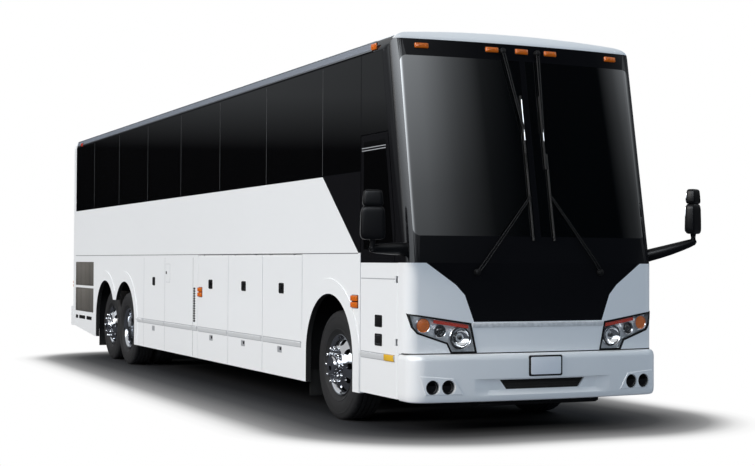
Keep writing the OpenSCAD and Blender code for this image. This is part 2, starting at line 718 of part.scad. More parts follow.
// Baggage doors, counted from the front
module baggage_door(bay) {
  x1 = bay_front_x - bay * bay_w - shut_gap / 2;
  x0 = x1 - bay_w + shut_gap;
  difference() {
    along_x(x0, x1) {
      translate([-half_w, skirt_z]) square([wall_t, bay_axis_z - skirt_z]);
      translate([-door_axis_y, bay_axis_z]) circle(r = wall_t / 2);
    }
    for (at = bay_tab_at) translate([bay_front_x - (bay + at) * bay_w, -door_axis_y, bay_axis_z]) {
      box([-notch_w / 2, -wall_t, -notch_h], [notch_w / 2, wall_t, wall_t]);
      rotate([0, 90, 0]) cylinder(r = hinge_r + run_clear, h = notch_w + 2 * pin_reach + 4, center = true);
    }
  }
}
module baggage_door_right_1() color("white") baggage_door(0);
module baggage_door_right_2() color("white") baggage_door(1);
module baggage_door_right_3() color("white") baggage_door(2);
module baggage_door_left_1() color("white") on_side(true) baggage_door(0);
module baggage_door_left_2() color("white") on_side(true) baggage_door(1);
module baggage_door_left_3() color("white") on_side(true) baggage_door(2);

// Wheel housings: a roof plate between two end plates over each wheel group
module housing(x0, x1, low) {
  y0 = -half_w + wall_t;
  box([x0, y0, liner_top], [x1, -liner_in, liner_top + liner_t]);
  box([x0, y0, low], [x0 + liner_t, -liner_in, liner_top + 1]);
  box([x1 - liner_t, y0, low], [x1, -liner_in, liner_top + 1]);
}
module wheel_housings() color("dimgray") for (left = [false, true]) on_side(left) {
  housing(front_x - liner_half, front_x + liner_half, liner_low);
  housing(tag_x - liner_half, drive_x + liner_half, liner_low);
}
module mudflaps() color("black") for (left = [false, true], x = [front_x, tag_x]) on_side(left)
  box([x - liner_half - 12, -half_w + wall_t + 20, 180], [x - liner_half, -liner_in - 60, 620]);

// Mirrors: an arm from each front corner, a post and a two-part head
mirror_x = nose_x + 20;
mirror_y = half_w + 375;
mirror_low_z = [belt_z + 195, belt_z + 285];
arm_r = 30;
arm_root = [nose_x - 170, half_w - 60, belt_z + 50];
module rod(a, b, r) {
  span = b - a;
  translate(a) rotate([0, acos(span[2] / norm(span)), atan2(span[1], span[0])]) cylinder(r = r, h = norm(span));
}
module head2d(w, h) {
  r = 35;
  rect(-w / 2 + r, 0, w / 2 - r, h);
  rect(-w / 2, r, w / 2, h - r);
  for (y = [r - w / 2, w / 2 - r], z = [r, h - r]) translate([y, z]) circle(r = r);
}
module door_mirror(low_z) {
  elbow = [mirror_x - 10, -mirror_y, arm_root[2] + 70];
  difference() {
    rod([arm_root[0], -arm_root[1], arm_root[2]], elbow, arm_r);
    lean() nose2d(-0.3);
  }
  translate([elbow[0], elbow[1], elbow[2] - 1.3 * arm_r])
    cylinder(r = 1.1 * arm_r, h = low_z - elbow[2] + 1.3 * arm_r + 10);
  translate([0, -mirror_y, low_z]) along_x(mirror_x - 65, mirror_x + 50) head2d(215, 290);
  translate([0, -mirror_y, low_z + 285]) along_x(mirror_x - 60, mirror_x + 45) head2d(190, 145);
}
module mirrors() color("black") for (left = [false, true])
  on_side(left) door_mirror(mirror_low_z[left ? 1 : 0]);

// Wipers: foot [y, z] and tip [y, z] of each arm, on the nose surface
wiper_foot_z = [belt_z - 80, header_lamp_z - 10];
wiper_tip_z = [screen_low + 360, screen_top - 670];
wiper_table = [
  [-640, wiper_foot_z[0], -60, wiper_tip_z[0]], [640, wiper_foot_z[0], 160, wiper_tip_z[0]],
  [-130, wiper_foot_z[1], -60, wiper_tip_z[1]], [130, wiper_foot_z[1], 140, wiper_tip_z[1]]];
wiper_boss_r = 22;
function nose_face(y, z) = nose_x - y * y / 2 / nose_bow_r - max(0, z - belt_z) * tan(rake);
module wipers() color("black") for (w = wiper_table) {
  seat = [nose_face(w[0], w[1]) + 0.3 + wiper_boss_r * abs(w[0]) / nose_bow_r, w[0], w[1]];
  tilt = w[1] > belt_z ? rake : 0;
  foot = seat + 35 * [cos(tilt), 0, sin(tilt)];
  tip = [nose_face(w[2], w[3]) + 24, w[2], w[3]];
  rod(foot, tip, 9);
  translate(seat) rotate([0, 90 - tilt, 0]) cylinder(r = wiper_boss_r, h = 44);
}

// Interior
first_row_set = 900;
seat_wall_gap = 40;
seat_front_x = door_back_x - first_row_set;
row_count = floor((seat_front_x - tail_seam_x - rear_room) / row_pitch) + 1;
driver_seat_w = 520;
driver_y = 640;
dash_set = [nose_x - 380, nose_x - 220];
driver_reach = 460;
driver_seat_x = dash_set[0] - driver_reach;
column_len = 260;
column_r = 30;
column_tilt = 40;
wheel_grip_r = 16;
steering_wheel_r = 215;
dash_top = 1600;
leg_d = 60;
cushion_z = 330;
cushion_len = 440;
cushion_t = 90;
cushion_tilt = 20;
back_h = 1080;
back_t = 90;
back_lean = 170;
back_foot = 50;
module seat2d() {
  back_x = leg_d - cushion_tilt;
  polygon([
    [0, 0], [leg_d, 0], [leg_d, cushion_z], [cushion_len - cushion_tilt, cushion_z + cushion_tilt],
    [cushion_len, cushion_z + cushion_tilt + cushion_t], [back_x, cushion_z + cushion_t],
    [back_x - back_lean, back_h], [back_x - back_lean - back_t, back_h - cushion_tilt],
    [-leg_d, cushion_z + back_foot], [0, cushion_z]]);
}
module seat(x, y, w, z) translate([x, y + w / 2, z]) rotate([90, 0, 0]) linear_extrude(w) seat2d();
module seats() color("slategray") {
  for (n = [0 : row_count - 1], s = [-1, 1])
    seat(seat_front_x - n * row_pitch, s * (half_w - wall_t - seat_wall_gap - seat_w / 2), seat_w, floor_z);
  seat(driver_seat_x, driver_y, driver_seat_w, platform_z);
}
module dashboard() color("black") {
  box([dash_set[0], -stair_in + plank_t, platform_z], [dash_set[1], half_w - wall_t - 120, dash_top]);
  translate([dash_set[0] + 80, driver_y, dash_top - 40]) rotate([0, -column_tilt, 0]) {
    cylinder(r = column_r, h = column_len);
    translate([0, 0, column_len - 10]) {
      rotate_extrude() translate([steering_wheel_r, 0]) circle(r = wheel_grip_r, $fn = 32);
      cube([2 * steering_wheel_r, 50, wheel_grip_r], center = true);
    }
  }
}

// Axles and wheels
knuckle_gap = 0.5;
eye_r = 55;
eye_h = 140;
ear_t = 45;
hub_in = 70;
spindle_len = 140;
spring_r = 100;
beam_half = 60;
module spring_pair(x, z0) for (s = [-1, 1])
  translate([x, s * rail_y, z0]) cylinder(r = spring_r, h = rail_low - z0);
module front_axle() color("dimgray") difference() {
  union() {
    box([front_x - beam_half, -kingpin_y, wheel_z - beam_half],
      [front_x + beam_half, kingpin_y, wheel_z + beam_half]);
    for (s = [-1, 1]) translate([front_x, s * kingpin_y, wheel_z])
      cylinder(r = eye_r, h = eye_h, center = true);
    spring_pair(front_x, wheel_z + beam_half - 10);
  }
  for (s = [-1, 1]) {
    translate([front_x, s * kingpin_y, wheel_z])
      cylinder(r = kingpin_r + run_clear, h = eye_h + 2, center = true);
    translate([front_x, s * (kingpin_y + eye_r + 100), wheel_z]) cube([400, 200, eye_h + 20], center = true);
  }
}
module knuckle() translate([front_x, -kingpin_y, wheel_z]) {
  plate_y = eye_r + 6;
  cylinder(r = kingpin_r, h = eye_h + 2 * ear_t, center = true);
  for (s = [-1, 1]) translate([0, 0, s * (eye_h / 2 + ear_t / 2 + knuckle_gap)]) {
    cylinder(r = eye_r, h = ear_t, center = true);
    translate([0, -plate_y / 2 - 10, 0]) cube([2 * eye_r, plate_y + 20, ear_t], center = true);
  }
  translate([0, -plate_y - 20, 0]) cube([2 * eye_r, 40, eye_h + 2 * ear_t], center = true);
  spindle_at = plate_y + 30;
  translate([0, -spindle_at, 0]) rotate([90, 0, 0])
    cylinder(r = spindle_r, h = front_y - kingpin_y - spindle_at + spindle_len);
}
module knuckle_right() color("gray") knuckle();
module knuckle_left() color("gray") on_side(true) knuckle();

module beam_axle(x, end_y, tube_r) {
  for (left = [false, true]) on_side(left) translate([x, 0, wheel_z]) rotate([90, 0, 0]) {
    cylinder(r = tube_r, h = end_y - 120);
    cylinder(r = spindle_r, h = end_y + spindle_len);
  }
  spring_pair(x, wheel_z + tube_r - 20);
}
module drive_axle() color("dimgray") {
  beam_axle(drive_x, drive_y - twin_pitch / 2, 85);
  translate([drive_x, 0, wheel_z]) rotate([90, 0, 0]) cylinder(r = 210, h = 320, center = true);
}
module tag_axle() color("dimgray") beam_axle(tag_x, tag_y, 70);

// Revolved wheel profiles, (radius, offset along the axle towards the outside)
module turned(x, y) translate([x, -y, wheel_z]) rotate([90, 0, 0]) rotate_extrude($fn = 96) children();
tyre_r = tyre_d / 2;
bead_r = rim_d / 2;
barrel_t = 25;
flange_h = 18;
flange_t = 12;
module tyre2d() {
  w = tyre_w / 2;
  b = rim_w / 2 - 1;
  polygon([
    [bead_r + 0.3, -b], [bead_r + flange_h + 1, -b], [bead_r + 40, -b - 8], [(bead_r + tyre_r) / 2, -w],
    [tyre_r - 60, -w + 8], [tyre_r - 18, -w + 22], [tyre_r, -w + 45],
    [tyre_r, w - 45], [tyre_r - 18, w - 22], [tyre_r - 60, w - 8], [(bead_r + tyre_r) / 2, w],
    [bead_r + 40, b + 8], [bead_r + flange_h + 1, b], [bead_r + 0.3, b]]);
}
// Rim: barrel and flanges, a disc from the barrel to the hub, and the hub with its bore
module rim2d(disc_at, hub_out) {
  b = rim_w / 2;
  bore_r = spindle_r + run_clear;
  difference() {
    union() {
      rect(bead_r - barrel_t, -b - flange_t, bead_r, b + flange_t);
      for (s = [-1, 1]) translate([bead_r - barrel_t, s * (b + flange_t / 2) - flange_t / 2])
        square([barrel_t + flange_h, flange_t]);
      polygon([[bore_r, disc_at - 12], [190, disc_at - 12], [bead_r - 20, disc_at - 70],
        [bead_r - 20, disc_at - 40], [200, disc_at + 12], [bore_r, disc_at + 12]]);
      rect(bore_r, disc_at - hub_in, 110, hub_out);
    }
    rect(-1, -400, bore_r, 400);
  }
}
front_disc = 90;
drive_disc = 20;
module rim_front_right() color("silver") turned(front_x, front_y) rim2d(front_disc, 150);
module rim_front_left() color("silver") on_side(true) rim_front_right();
module tyre_front_right() color("black") turned(front_x, front_y) tyre2d();
module tyre_front_left() color("black") on_side(true) tyre_front_right();
module drive_rims() {
  turned(drive_x, drive_y - twin_pitch / 2) {
    for (t = [-1, 1]) translate([0, t * twin_pitch / 2]) {
      rect(bead_r - barrel_t, -rim_w / 2 - flange_t, bead_r, rim_w / 2 + flange_t);
      for (s = [-1, 1]) translate([bead_r - barrel_t, s * (rim_w / 2 + flange_t / 2) - flange_t / 2])
        square([barrel_t + flange_h, flange_t]);
    }
    polygon([
      [spindle_r + run_clear, -14], [180, -14], [bead_r - 20, -80],
      [bead_r - 20, 80], [180, 14], [spindle_r + run_clear, 14]]);
    rect(spindle_r + run_clear, -hub_in, 110, 150);
  }
}
module rims_drive_right() color("silver") drive_rims();
module rims_drive_left() color("silver") on_side(true) drive_rims();
module drive_tyres() for (t = [0, 1]) turned(drive_x, drive_y - t * twin_pitch) tyre2d();
module tyres_drive_right() color("black") drive_tyres();
module tyres_drive_left() color("black") on_side(true) drive_tyres();
module rim_tag_right() color("silver") turned(tag_x, tag_y) rim2d(front_disc, 150);
module rim_tag_left() color("silver") on_side(true) rim_tag_right();
module tyre_tag_right() color("black") turned(tag_x, tag_y) tyre2d();
module tyre_tag_left() color("black") on_side(true) tyre_tag_right();

underframe();
passenger_floor();
driver_platform();
roof();
side_wall_right();
side_wall_left();
shoulders();
side_glass_right();
side_glass_left();
lower_side_right();
lower_side_left();
side_grilles();
front_fascia();
front_panel();
windshield_frame();
windshield();
front_bumper();
headlamps();
fog_lamps();
marker_lamps();
front_plate();
rear_cap();
rear_window();
rear_bumper();
tail_lamps();
engine_door();
engine();
entrance_door();
entrance_glass();
driver_side_panel();
baggage_door_right_1();
baggage_door_right_2();
baggage_door_right_3();
baggage_door_left_1();
baggage_door_left_2();
baggage_door_left_3();
wheel_housings();
mudflaps();
mirrors();
wipers();
seats();
dashboard();
front_axle();
drive_axle();
tag_axle();
knuckle_right();
knuckle_left();
rim_front_right();
rim_front_left();
tyre_front_right();
tyre_front_left();
rims_drive_right();
rims_drive_left();
tyres_drive_right();
tyres_drive_left();
rim_tag_right();
rim_tag_left();
tyre_tag_right();
tyre_tag_left();
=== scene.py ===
# %% [markdown]
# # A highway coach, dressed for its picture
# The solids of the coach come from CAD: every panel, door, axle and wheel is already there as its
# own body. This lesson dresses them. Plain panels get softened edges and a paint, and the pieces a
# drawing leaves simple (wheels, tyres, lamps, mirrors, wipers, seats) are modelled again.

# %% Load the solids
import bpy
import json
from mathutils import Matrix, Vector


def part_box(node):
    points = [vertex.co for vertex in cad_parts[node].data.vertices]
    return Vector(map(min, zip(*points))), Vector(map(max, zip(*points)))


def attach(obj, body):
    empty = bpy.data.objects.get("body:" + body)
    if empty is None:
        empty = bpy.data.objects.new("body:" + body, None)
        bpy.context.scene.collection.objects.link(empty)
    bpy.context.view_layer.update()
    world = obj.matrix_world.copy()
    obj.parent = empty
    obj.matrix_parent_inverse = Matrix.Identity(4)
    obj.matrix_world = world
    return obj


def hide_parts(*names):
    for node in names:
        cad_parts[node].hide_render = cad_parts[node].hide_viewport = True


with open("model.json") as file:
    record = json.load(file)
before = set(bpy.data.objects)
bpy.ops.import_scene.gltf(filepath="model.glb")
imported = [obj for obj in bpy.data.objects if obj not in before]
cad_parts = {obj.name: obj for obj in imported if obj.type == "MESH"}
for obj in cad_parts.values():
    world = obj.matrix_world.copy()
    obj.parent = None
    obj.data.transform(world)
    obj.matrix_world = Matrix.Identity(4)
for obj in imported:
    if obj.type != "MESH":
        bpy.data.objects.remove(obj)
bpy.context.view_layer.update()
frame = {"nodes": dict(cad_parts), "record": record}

import json
import math
import bpy
import bmesh
from mathutils import Matrix, Vector

# %% [markdown]
# ## The few sizes that everything hangs on
# The frame is in metres: X points to the front, Y to the left, Z up, and the road is Z = 0. A handful
# of heights and stations, read from the solids where that is possible, place every piece below.

# %% Main stations and heights
HALF = -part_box("side_wall_right")[0].y     # half the body width
BELT, SILL, HEAD = 1.550, 2.400, 3.487     # belt line, window sill, window head
NOSE_X, BUMPER_X, TAIL_X = 6.845, 6.935, -6.775
RAKE, BOW = math.radians(10.5), 9.0        # lean and plan radius of the nose
NOSE_CORNER, BUMPER_CORNER = 0.130, 0.160  # plan radius of their corners
SIDES = {"right": -1, "left": 1}
WHEEL_X = {"front": 4.985, "drive": -3.065, "tag": -4.280}
WHEEL_Y = {"front": 1.049, "drive": 0.924, "tag": 1.039}
WHEEL_Z = 0.538
print("half width", round(HALF, 3), "m")

# %% [markdown]
# ## Paints, rubbers, metals and glass
# A material here is a Principled shader whose colour is broken up a little by noise, and whose surface
# carries a fine bump: orange peel on paint, pebbling on plastic, grain on castings. The noise is
# read from Object coordinates, in metres, so it sticks to the piece when a door opens. `film` lays a
# little road dust on the lowest metre, and `streak` stretches the noise along an axis.

# %% A material builder
def finish(name, colour, rough, metal=0.0, mottle=(3.0, 0.04), grain=(400.0, 0.02), coat=0.0,
           film=0.0, spec=0.5, streak=(1, 1, 1)):
    mat = bpy.data.materials.new(name)
    mat.use_nodes = True
    mat.diffuse_color = (*colour, 1)
    nodes, links = mat.node_tree.nodes, mat.node_tree.links
    shader = nodes["Principled BSDF"]
    shader.inputs["Roughness"].default_value = rough
    shader.inputs["Metallic"].default_value = metal
    shader.inputs["Specular IOR Level"].default_value = spec
    shader.inputs["Coat Weight"].default_value = coat
    shader.inputs["Coat Roughness"].default_value = 0.06
    where = nodes.new("ShaderNodeTexCoord").outputs["Object"]

    def blend(factor, a, b):
        mix = nodes.new("ShaderNodeMix")
        mix.data_type = "RGBA"
        links.new(factor, mix.inputs["Factor"])
        for socket, value in ((mix.inputs[6], a), (mix.inputs[7], b)):
            if isinstance(value, tuple):
                socket.default_value = (*value, 1)
            else:
                links.new(value, socket)
        return mix.outputs[2]

    def noise(scale, stretch=(1, 1, 1)):
        node, turn = nodes.new("ShaderNodeTexNoise"), nodes.new("ShaderNodeMapping")
        node.inputs["Scale"].default_value = scale
        node.inputs["Detail"].default_value = 3.0
        turn.inputs["Scale"].default_value = stretch
        links.new(where, turn.inputs["Vector"])
        links.new(turn.outputs["Vector"], node.inputs["Vector"])
        return node.outputs["Fac"]

    worn = tuple(c * (1 - mottle[1]) for c in colour)
    tint = blend(noise(mottle[0], streak), worn, colour)
    if film:
        axes = nodes.new("ShaderNodeSeparateXYZ")
        links.new(where, axes.inputs[0])
        low = nodes.new("ShaderNodeMapRange")
        low.inputs["From Min"].default_value, low.inputs["From Max"].default_value = 0.25, 1.0
        low.inputs["To Min"].default_value, low.inputs["To Max"].default_value = film, 0.0
        links.new(axes.outputs["Z"], low.inputs["Value"])
        tint = blend(low.outputs["Result"], tint, (0.50, 0.48, 0.45))
    links.new(tint, shader.inputs["Base Color"])
    bump = nodes.new("ShaderNodeBump")
    bump.inputs["Strength"].default_value = grain[1]
    bump.inputs["Distance"].default_value = 0.002
    links.new(noise(grain[0]), bump.inputs["Height"])
    links.new(bump.outputs["Normal"], shader.inputs["Normal"])
    return mat


WHITE, BLACK = (0.83, 0.84, 0.85), (0.006, 0.006, 0.007)
PAINT = {"coat": 0.15, "mottle": (0.6, 0.03)}
DULL = {"spec": 0.22, "mottle": (7, 0.4)}
LENS = {"coat": 0.15, "spec": 0.3, "mottle": (90, 0.2), "grain": (220, 0.3)}
M = {
    "white": finish("white_enamel", WHITE, 0.40, film=0.10, **PAINT),
    "roof": finish("roof_enamel", (0.82, 0.83, 0.84), 0.60, mottle=(0.6, 0.03), spec=0.05),
    "black": finish("black_enamel", BLACK, 0.07, spec=0.06),
    "post": finish("corner_post_enamel", BLACK, 0.08, spec=0.24),
    "shell": finish("mirror_shell", (0.004, 0.0042, 0.005), 0.30, grain=(500, 0.08), spec=0.09),
    "glass": finish("tinted_glass", (0.001, 0.001, 0.0012), 0.03, grain=(1.2, 0.003)),
    "screen": finish("windshield_glass", (0.001, 0.0014, 0.0018), 0.03, grain=(1.2, 0.003)),
    "chassis": finish("chassis_paint", (0.010, 0.010, 0.011), 0.62, grain=(120, 0.2), **DULL),
    "iron": finish("engine_iron", (0.10, 0.10, 0.105), 0.6, metal=0.6, grain=(90, 0.4)),
    "floor": finish("floor_covering", (0.07, 0.075, 0.085), 0.75, mottle=(60, 0.5), grain=(250, 0.3)),
    "alloy": finish("polished_aluminium", (0.46, 0.47, 0.49), 0.10, metal=1.0, mottle=(14, 0.15),
                    grain=(160, 0.03)),
    "chrome": finish("bright_chrome", (0.66, 0.67, 0.69), 0.06, metal=1.0, grain=(60, 0.01)),
    "tyre": finish("tyre_rubber", (0.012, 0.012, 0.013), 0.72, grain=(300, 0.25), **DULL),
    "flap": finish("flap_rubber", (0.006, 0.006, 0.006), 0.70, grain=(200, 0.3), **DULL),
    "plastic": finish("black_plastic", (0.006, 0.006, 0.0065), 0.45, mottle=(20, 0.2), grain=(700, 0.25),
                      spec=0.10),
    "grille": finish("grille_grey", (0.20, 0.185, 0.165), 0.45, metal=0.3, mottle=(9, 0.75),
                     grain=(300, 0.15), streak=(1, 1, 0.03)),
    "silver": finish("reflector_silver", (0.90, 0.90, 0.91), 0.20, metal=0.10, mottle=(30, 0.5),
                     grain=(90, 0.05)),
    "amber": finish("amber_lens", (0.74, 0.155, 0.007), 0.22, **LENS),
    "red": finish("red_lens", (0.62, 0.034, 0.008), 0.22, **LENS),
    "yellow": finish("yellow_reflex", (0.85, 0.50, 0.03), 0.25, coat=0.4, mottle=(200, 0.3),
                     grain=(260, 0.4)),
    "cloth": finish("seat_weave", (0.045, 0.055, 0.085), 0.90, mottle=(160, 0.5), grain=(900, 0.6)),
    "plate": finish("blank_plate", (0.80, 0.82, 0.86), 0.35, mottle=(8, 0.06), grain=(300, 0.05)),
    "moulding": finish("grey_moulding", (0.42, 0.43, 0.45), 0.35, metal=0.2, mottle=(3, 0.1)),
    "rail": finish("rail_grey", (0.60, 0.61, 0.62), 0.45, mottle=(3, 0.08)),
    "gutter": finish("gutter_grey", (0.15, 0.17, 0.21), 0.35, mottle=(3, 0.15)),
    "seal": finish("seam_seal", (0.10, 0.10, 0.105), 0.6, mottle=(9, 0.3), grain=(300, 0.2)),
}
clear = finish("clear_lens", (0.30, 0.32, 0.35), 0.03, grain=(30, 0.01), spec=0.06)
clear.node_tree.nodes["Principled BSDF"].inputs["Alpha"].default_value = 0.03
M["clear"] = clear
M["screen"].node_tree.nodes["Principled BSDF"].inputs["IOR"].default_value = 1.9
print(len(M), "materials")

# %% [markdown]
# ## Shapes as stacks of rings
# Most fittings on a coach are rings of points joined to the next ring: a lens is an outline repeated
# at a few depths and insets, a wheel is a profile turned about its axle, an arm is a section carried
# along a path. A kit collects such closed shapes, each with its own material, and becomes one piece.

def stack(rings, loop=False):
    size, verts = len(rings[0]), [p for ring in rings for p in ring]
    faces = []
    for k in range(len(rings) if loop else len(rings) - 1):
        a, b = k * size, (k + 1) % len(rings) * size
        faces += [(a + i, a + (i + 1) % size, b + (i + 1) % size, b + i) for i in range(size)]
    if not loop:
        faces += [tuple(range(size))[::-1], tuple(range(len(verts) - size, len(verts)))]
    return verts, faces


def inset(outline, d):
    out, n = [], len(outline)
    area = sum(outline[i - 1][0] * outline[i][1] - outline[i][0] * outline[i - 1][1] for i in range(n))
    turn = 1 if area > 0 else -1
    for i in range(n):
        p, q, r = (Vector(outline[j % n]) for j in (i - 1, i, i + 1))
        a, b = (q - p).normalized(), (r - q).normalized()
        na, nb = Vector((-a.y, a.x)) * turn, Vector((-b.y, b.x)) * turn
        out.append(tuple(q + (na + nb) * (d / max(1 + na.dot(nb), 0.3))))
    return out


def slab(outline, layers, place, loop=False):
    return stack([[place(u, v, h) for u, v in inset(outline, d)] for d, h in layers], loop)


def rounded(u0, v0, u1, v1, r, steps=5):
    corners = ((u1 - r, v1 - r, 0), (u0 + r, v1 - r, 1), (u0 + r, v0 + r, 2), (u1 - r, v0 + r, 3))
    turns = [(u, v, (q + k / steps) * math.pi / 2) for u, v, q in corners for k in range(steps + 1)]
    return [(u + r * math.cos(a), v + r * math.sin(a)) for u, v, a in turns]


def turned(profile, place, sides=48, dent=None):
    rings = []
    for i in range(sides):
        a = math.tau * i / sides
        points = [(r - dent(i, r, o), o) for r, o in profile] if dent else profile
        rings.append([place(r * math.cos(a), r * math.sin(a), o) for r, o in points])
    return stack(rings, loop=True)


def tube(path, sizes, sides=16, flat=Vector((0, 0, 1))):
    rings = []
    for k, point in enumerate(path):
        point = Vector(point)
        run = (Vector(path[min(k + 1, len(path) - 1)]) - Vector(path[max(k - 1, 0)])).normalized()
        across = run.cross(flat).normalized()
        up = across.cross(run)
        a, b = sizes[k] if isinstance(sizes, list) else sizes
        rings.append([tuple(point + across * a * math.cos(t) + up * b * math.sin(t))
                      for t in (math.tau * i / sides for i in range(sides))])
    return stack(rings)


class Kit:
    def __init__(self, *names):
        self.bm, self.names = bmesh.new(), names

    def add(self, shape, material=None):
        verts = [self.bm.verts.new(p) for p in shape[0]]
        index = self.names.index(material or self.names[0])
        for face in shape[1]:
            self.bm.faces.new([verts[i] for i in face]).material_index = index
        return self

    def mesh(self, name):
        bmesh.ops.remove_doubles(self.bm, verts=self.bm.verts, dist=2e-6)
        bmesh.ops.dissolve_degenerate(self.bm, edges=self.bm.edges, dist=1e-6)
        bmesh.ops.recalc_face_normals(self.bm, faces=self.bm.faces)
        mesh = bpy.data.meshes.new(name)
        self.bm.to_mesh(mesh)
        self.bm.free()
        for key in self.names:
            mesh.materials.append(M[key])
        return mesh


def drawn(mesh, name="host"):
    obj = bpy.data.objects.new(name, mesh)
    bpy.context.scene.collection.objects.link(obj)
    return obj


def show(name, mesh, body, replaces=(), sharp=34, even=False):
    mesh.shade_smooth()
    mesh.set_sharp_from_angle(angle=math.radians(sharp))
    piece = drawn(mesh, name)
    if even:
        weight = piece.modifiers.new("Even shading", "WEIGHTED_NORMAL")
        weight.keep_sharp, weight.weight = True, 100
        graph = bpy.context.evaluated_depsgraph_get()
        piece.data = bpy.data.meshes.new_from_object(piece.evaluated_get(graph))
        piece.modifiers.clear()
    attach(piece, body)
    if replaces:
        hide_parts(*replaces)
    print(name, len(mesh.polygons), "faces, rides", body)
    return piece


def as_shape(mesh, matrix=Matrix()):
    return [tuple(matrix @ v.co) for v in mesh.vertices], [tuple(p.vertices) for p in mesh.polygons]


# %% [markdown]
# ## Where a fitting sits
# A lamp or a trim strip is drawn flat, in two coordinates and a height, and then laid on the coach. On
# the sides that is a plain shift. The nose is bowed in plan, rounds off at its corners and leans back
# above the belt line, so its own little function finds the point and the outward direction.

# %% Placing on the side, nose and tail
def on_side(side):
    return lambda x, z, h: (x, side * (HALF + h), z)


def on_tail(y, z, h):
    return (TAIL_X - h, y, z)


def bow(y, tip, corner):
    cy, a = HALF - corner, min(abs(y), HALF)
    cx = tip - BOW + math.sqrt((BOW - corner) ** 2 - cy * cy)
    if a <= cy / (BOW - corner) * BOW:
        x = tip - BOW + math.sqrt(BOW * BOW - a * a)
        nx, ny = (x - tip + BOW) / BOW, a / BOW
    else:
        nx = math.sqrt(max(1 - ((a - cy) / corner) ** 2, 0))
        x, ny = cx + nx * corner, (a - cy) / corner
    return x, nx, math.copysign(ny, y)


def on_nose(y, z, h):
    x, nx, ny = bow(y, NOSE_X, NOSE_CORNER)
    nz = 0.0
    if z > BELT:
        x = NOSE_X + (x - NOSE_X) / math.cos(RAKE) - (z - BELT) * math.tan(RAKE)
        nx, nz = nx * math.cos(RAKE), nx * math.sin(RAKE)
    return (x + h * nx, y + h * ny, z + h * nz)


def nose_strip(section, ys, z_of):
    return stack([[on_nose(y, z_of(y) + dz, h) for dz, h in section] for y in ys])


def spread(a, b, n):
    return [a + (b - a) * i / (n - 1) for i in range(n)]


print("nose centre", [round(c, 3) for c in on_nose(0, 1.0, 0)])

# %% [markdown]
# ## Dressing the sheet panels
# A pressed panel has no knife edges: its rim is folded or hemmed, and the soft edge catches a line of
# light. Each panel below is a copy of its solid with doubled points merged and shaded smooth; where an edge
# width is given, its tiny facets are merged too and it gets a bevel of a few millimetres with a modifier.
# The copy takes the place of the solid in the picture.

# %% Panels with softened edges
FOLD = 28                                  # degrees from which a fold shows as an edge
body_of = {node: body for body, nodes in frame["record"]["behaviour"]["bodies"].items() for node in nodes}


def baked(obj):
    graph = bpy.context.evaluated_depsgraph_get()
    mesh = bpy.data.meshes.new_from_object(obj.evaluated_get(graph))
    bpy.data.objects.remove(obj)
    return mesh


def carved(solid, tool, operation="DIFFERENCE"):
    host, tool = drawn(solid), drawn(tool, "tool")
    cut = host.modifiers.new("Carve", "BOOLEAN")
    cut.operation, cut.solver, cut.object = operation, "EXACT", tool
    made = baked(host)
    bpy.data.objects.remove(tool)
    return made


def dress(node, keys, edge=0.0, second=None, cuts=(), reshape=None):
    mesh = frame["nodes"][node].data.copy()
    if "custom_normal" in mesh.attributes:
        mesh.attributes.remove(mesh.attributes["custom_normal"])
    bm = bmesh.new()
    bm.from_mesh(mesh)
    bmesh.ops.remove_doubles(bm, verts=bm.verts, dist=1e-5)
    if edge:
        bmesh.ops.dissolve_limit(bm, angle_limit=math.radians(0.5), verts=bm.verts, edges=bm.edges)
    for point, normal in cuts:
        everything = bm.verts[:] + bm.edges[:] + bm.faces[:]
        bmesh.ops.bisect_plane(bm, geom=everything, dist=1e-5, plane_co=point, plane_no=normal)
    if reshape:
        for vert in bm.verts:
            vert.co = reshape(vert.co)
    bm.to_mesh(mesh)
    bm.free()
    if edge:
        host = drawn(mesh)
        bevel = host.modifiers.new("Soft edges", "BEVEL")
        bevel.width, bevel.segments, bevel.angle_limit = edge, 2, math.radians(50)
        mesh = baked(host)
    mesh.materials.clear()
    for key in keys.split():
        mesh.materials.append(M[key])
    for face in mesh.polygons:
        face.material_index = 1 if second and second(face.center, face.normal) else 0
    return show(node + "_skin", mesh, body_of[node], [node], FOLD, bool(edge))


# %% [markdown]
# ## White below, black above
# Side walls, entrance door and driver's panel are one pressing in two colours, so a level cut splits
# their faces where the masking tape would run. The edge of the sheet inside a wheel arch is dark. The
# roof's front brow is bent back into a dome, row by row, and the cove over the windows is black.

# %% Dress the panels
def level_cut(z):
    return (0, 0, z), (0, 0, 1)


def two_tone(node, z, edge=0.0):
    dress(node, "white black", edge, cuts=(level_cut(z),), second=lambda c, n: c.z > z)


def arch_return(centre, normal):
    to_wheel = [Vector((x - centre.x, 0, WHEEL_Z - centre.z)) for x in WHEEL_X.values()]
    near = min(to_wheel, key=lambda v: v.length)
    return near.length < 0.75 and abs(normal.y) < 0.5 and normal.dot(near.normalized()) > 0.4


COVE_TOP, COVE_ENDS, COVE_IN = 3.605, (-6.440, 6.330), 1.1
BROW_LOW, BROW_HIGH, BROW_LEAN, BROW_START = 3.578, 3.690, 0.150, 6.15


def domed(p):
    share = min(max((p.z - BROW_LOW) / (BROW_HIGH - BROW_LOW), 0.0), 1.0)
    return Vector((p.x - (BROW_LEAN * share ** 1.7 if p.x > BROW_START else 0.0), p.y, p.z))


def in_cove(c, n):
    return c.z < COVE_TOP and COVE_ENDS[0] < c.x < COVE_ENDS[1] and abs(c.y) > COVE_IN


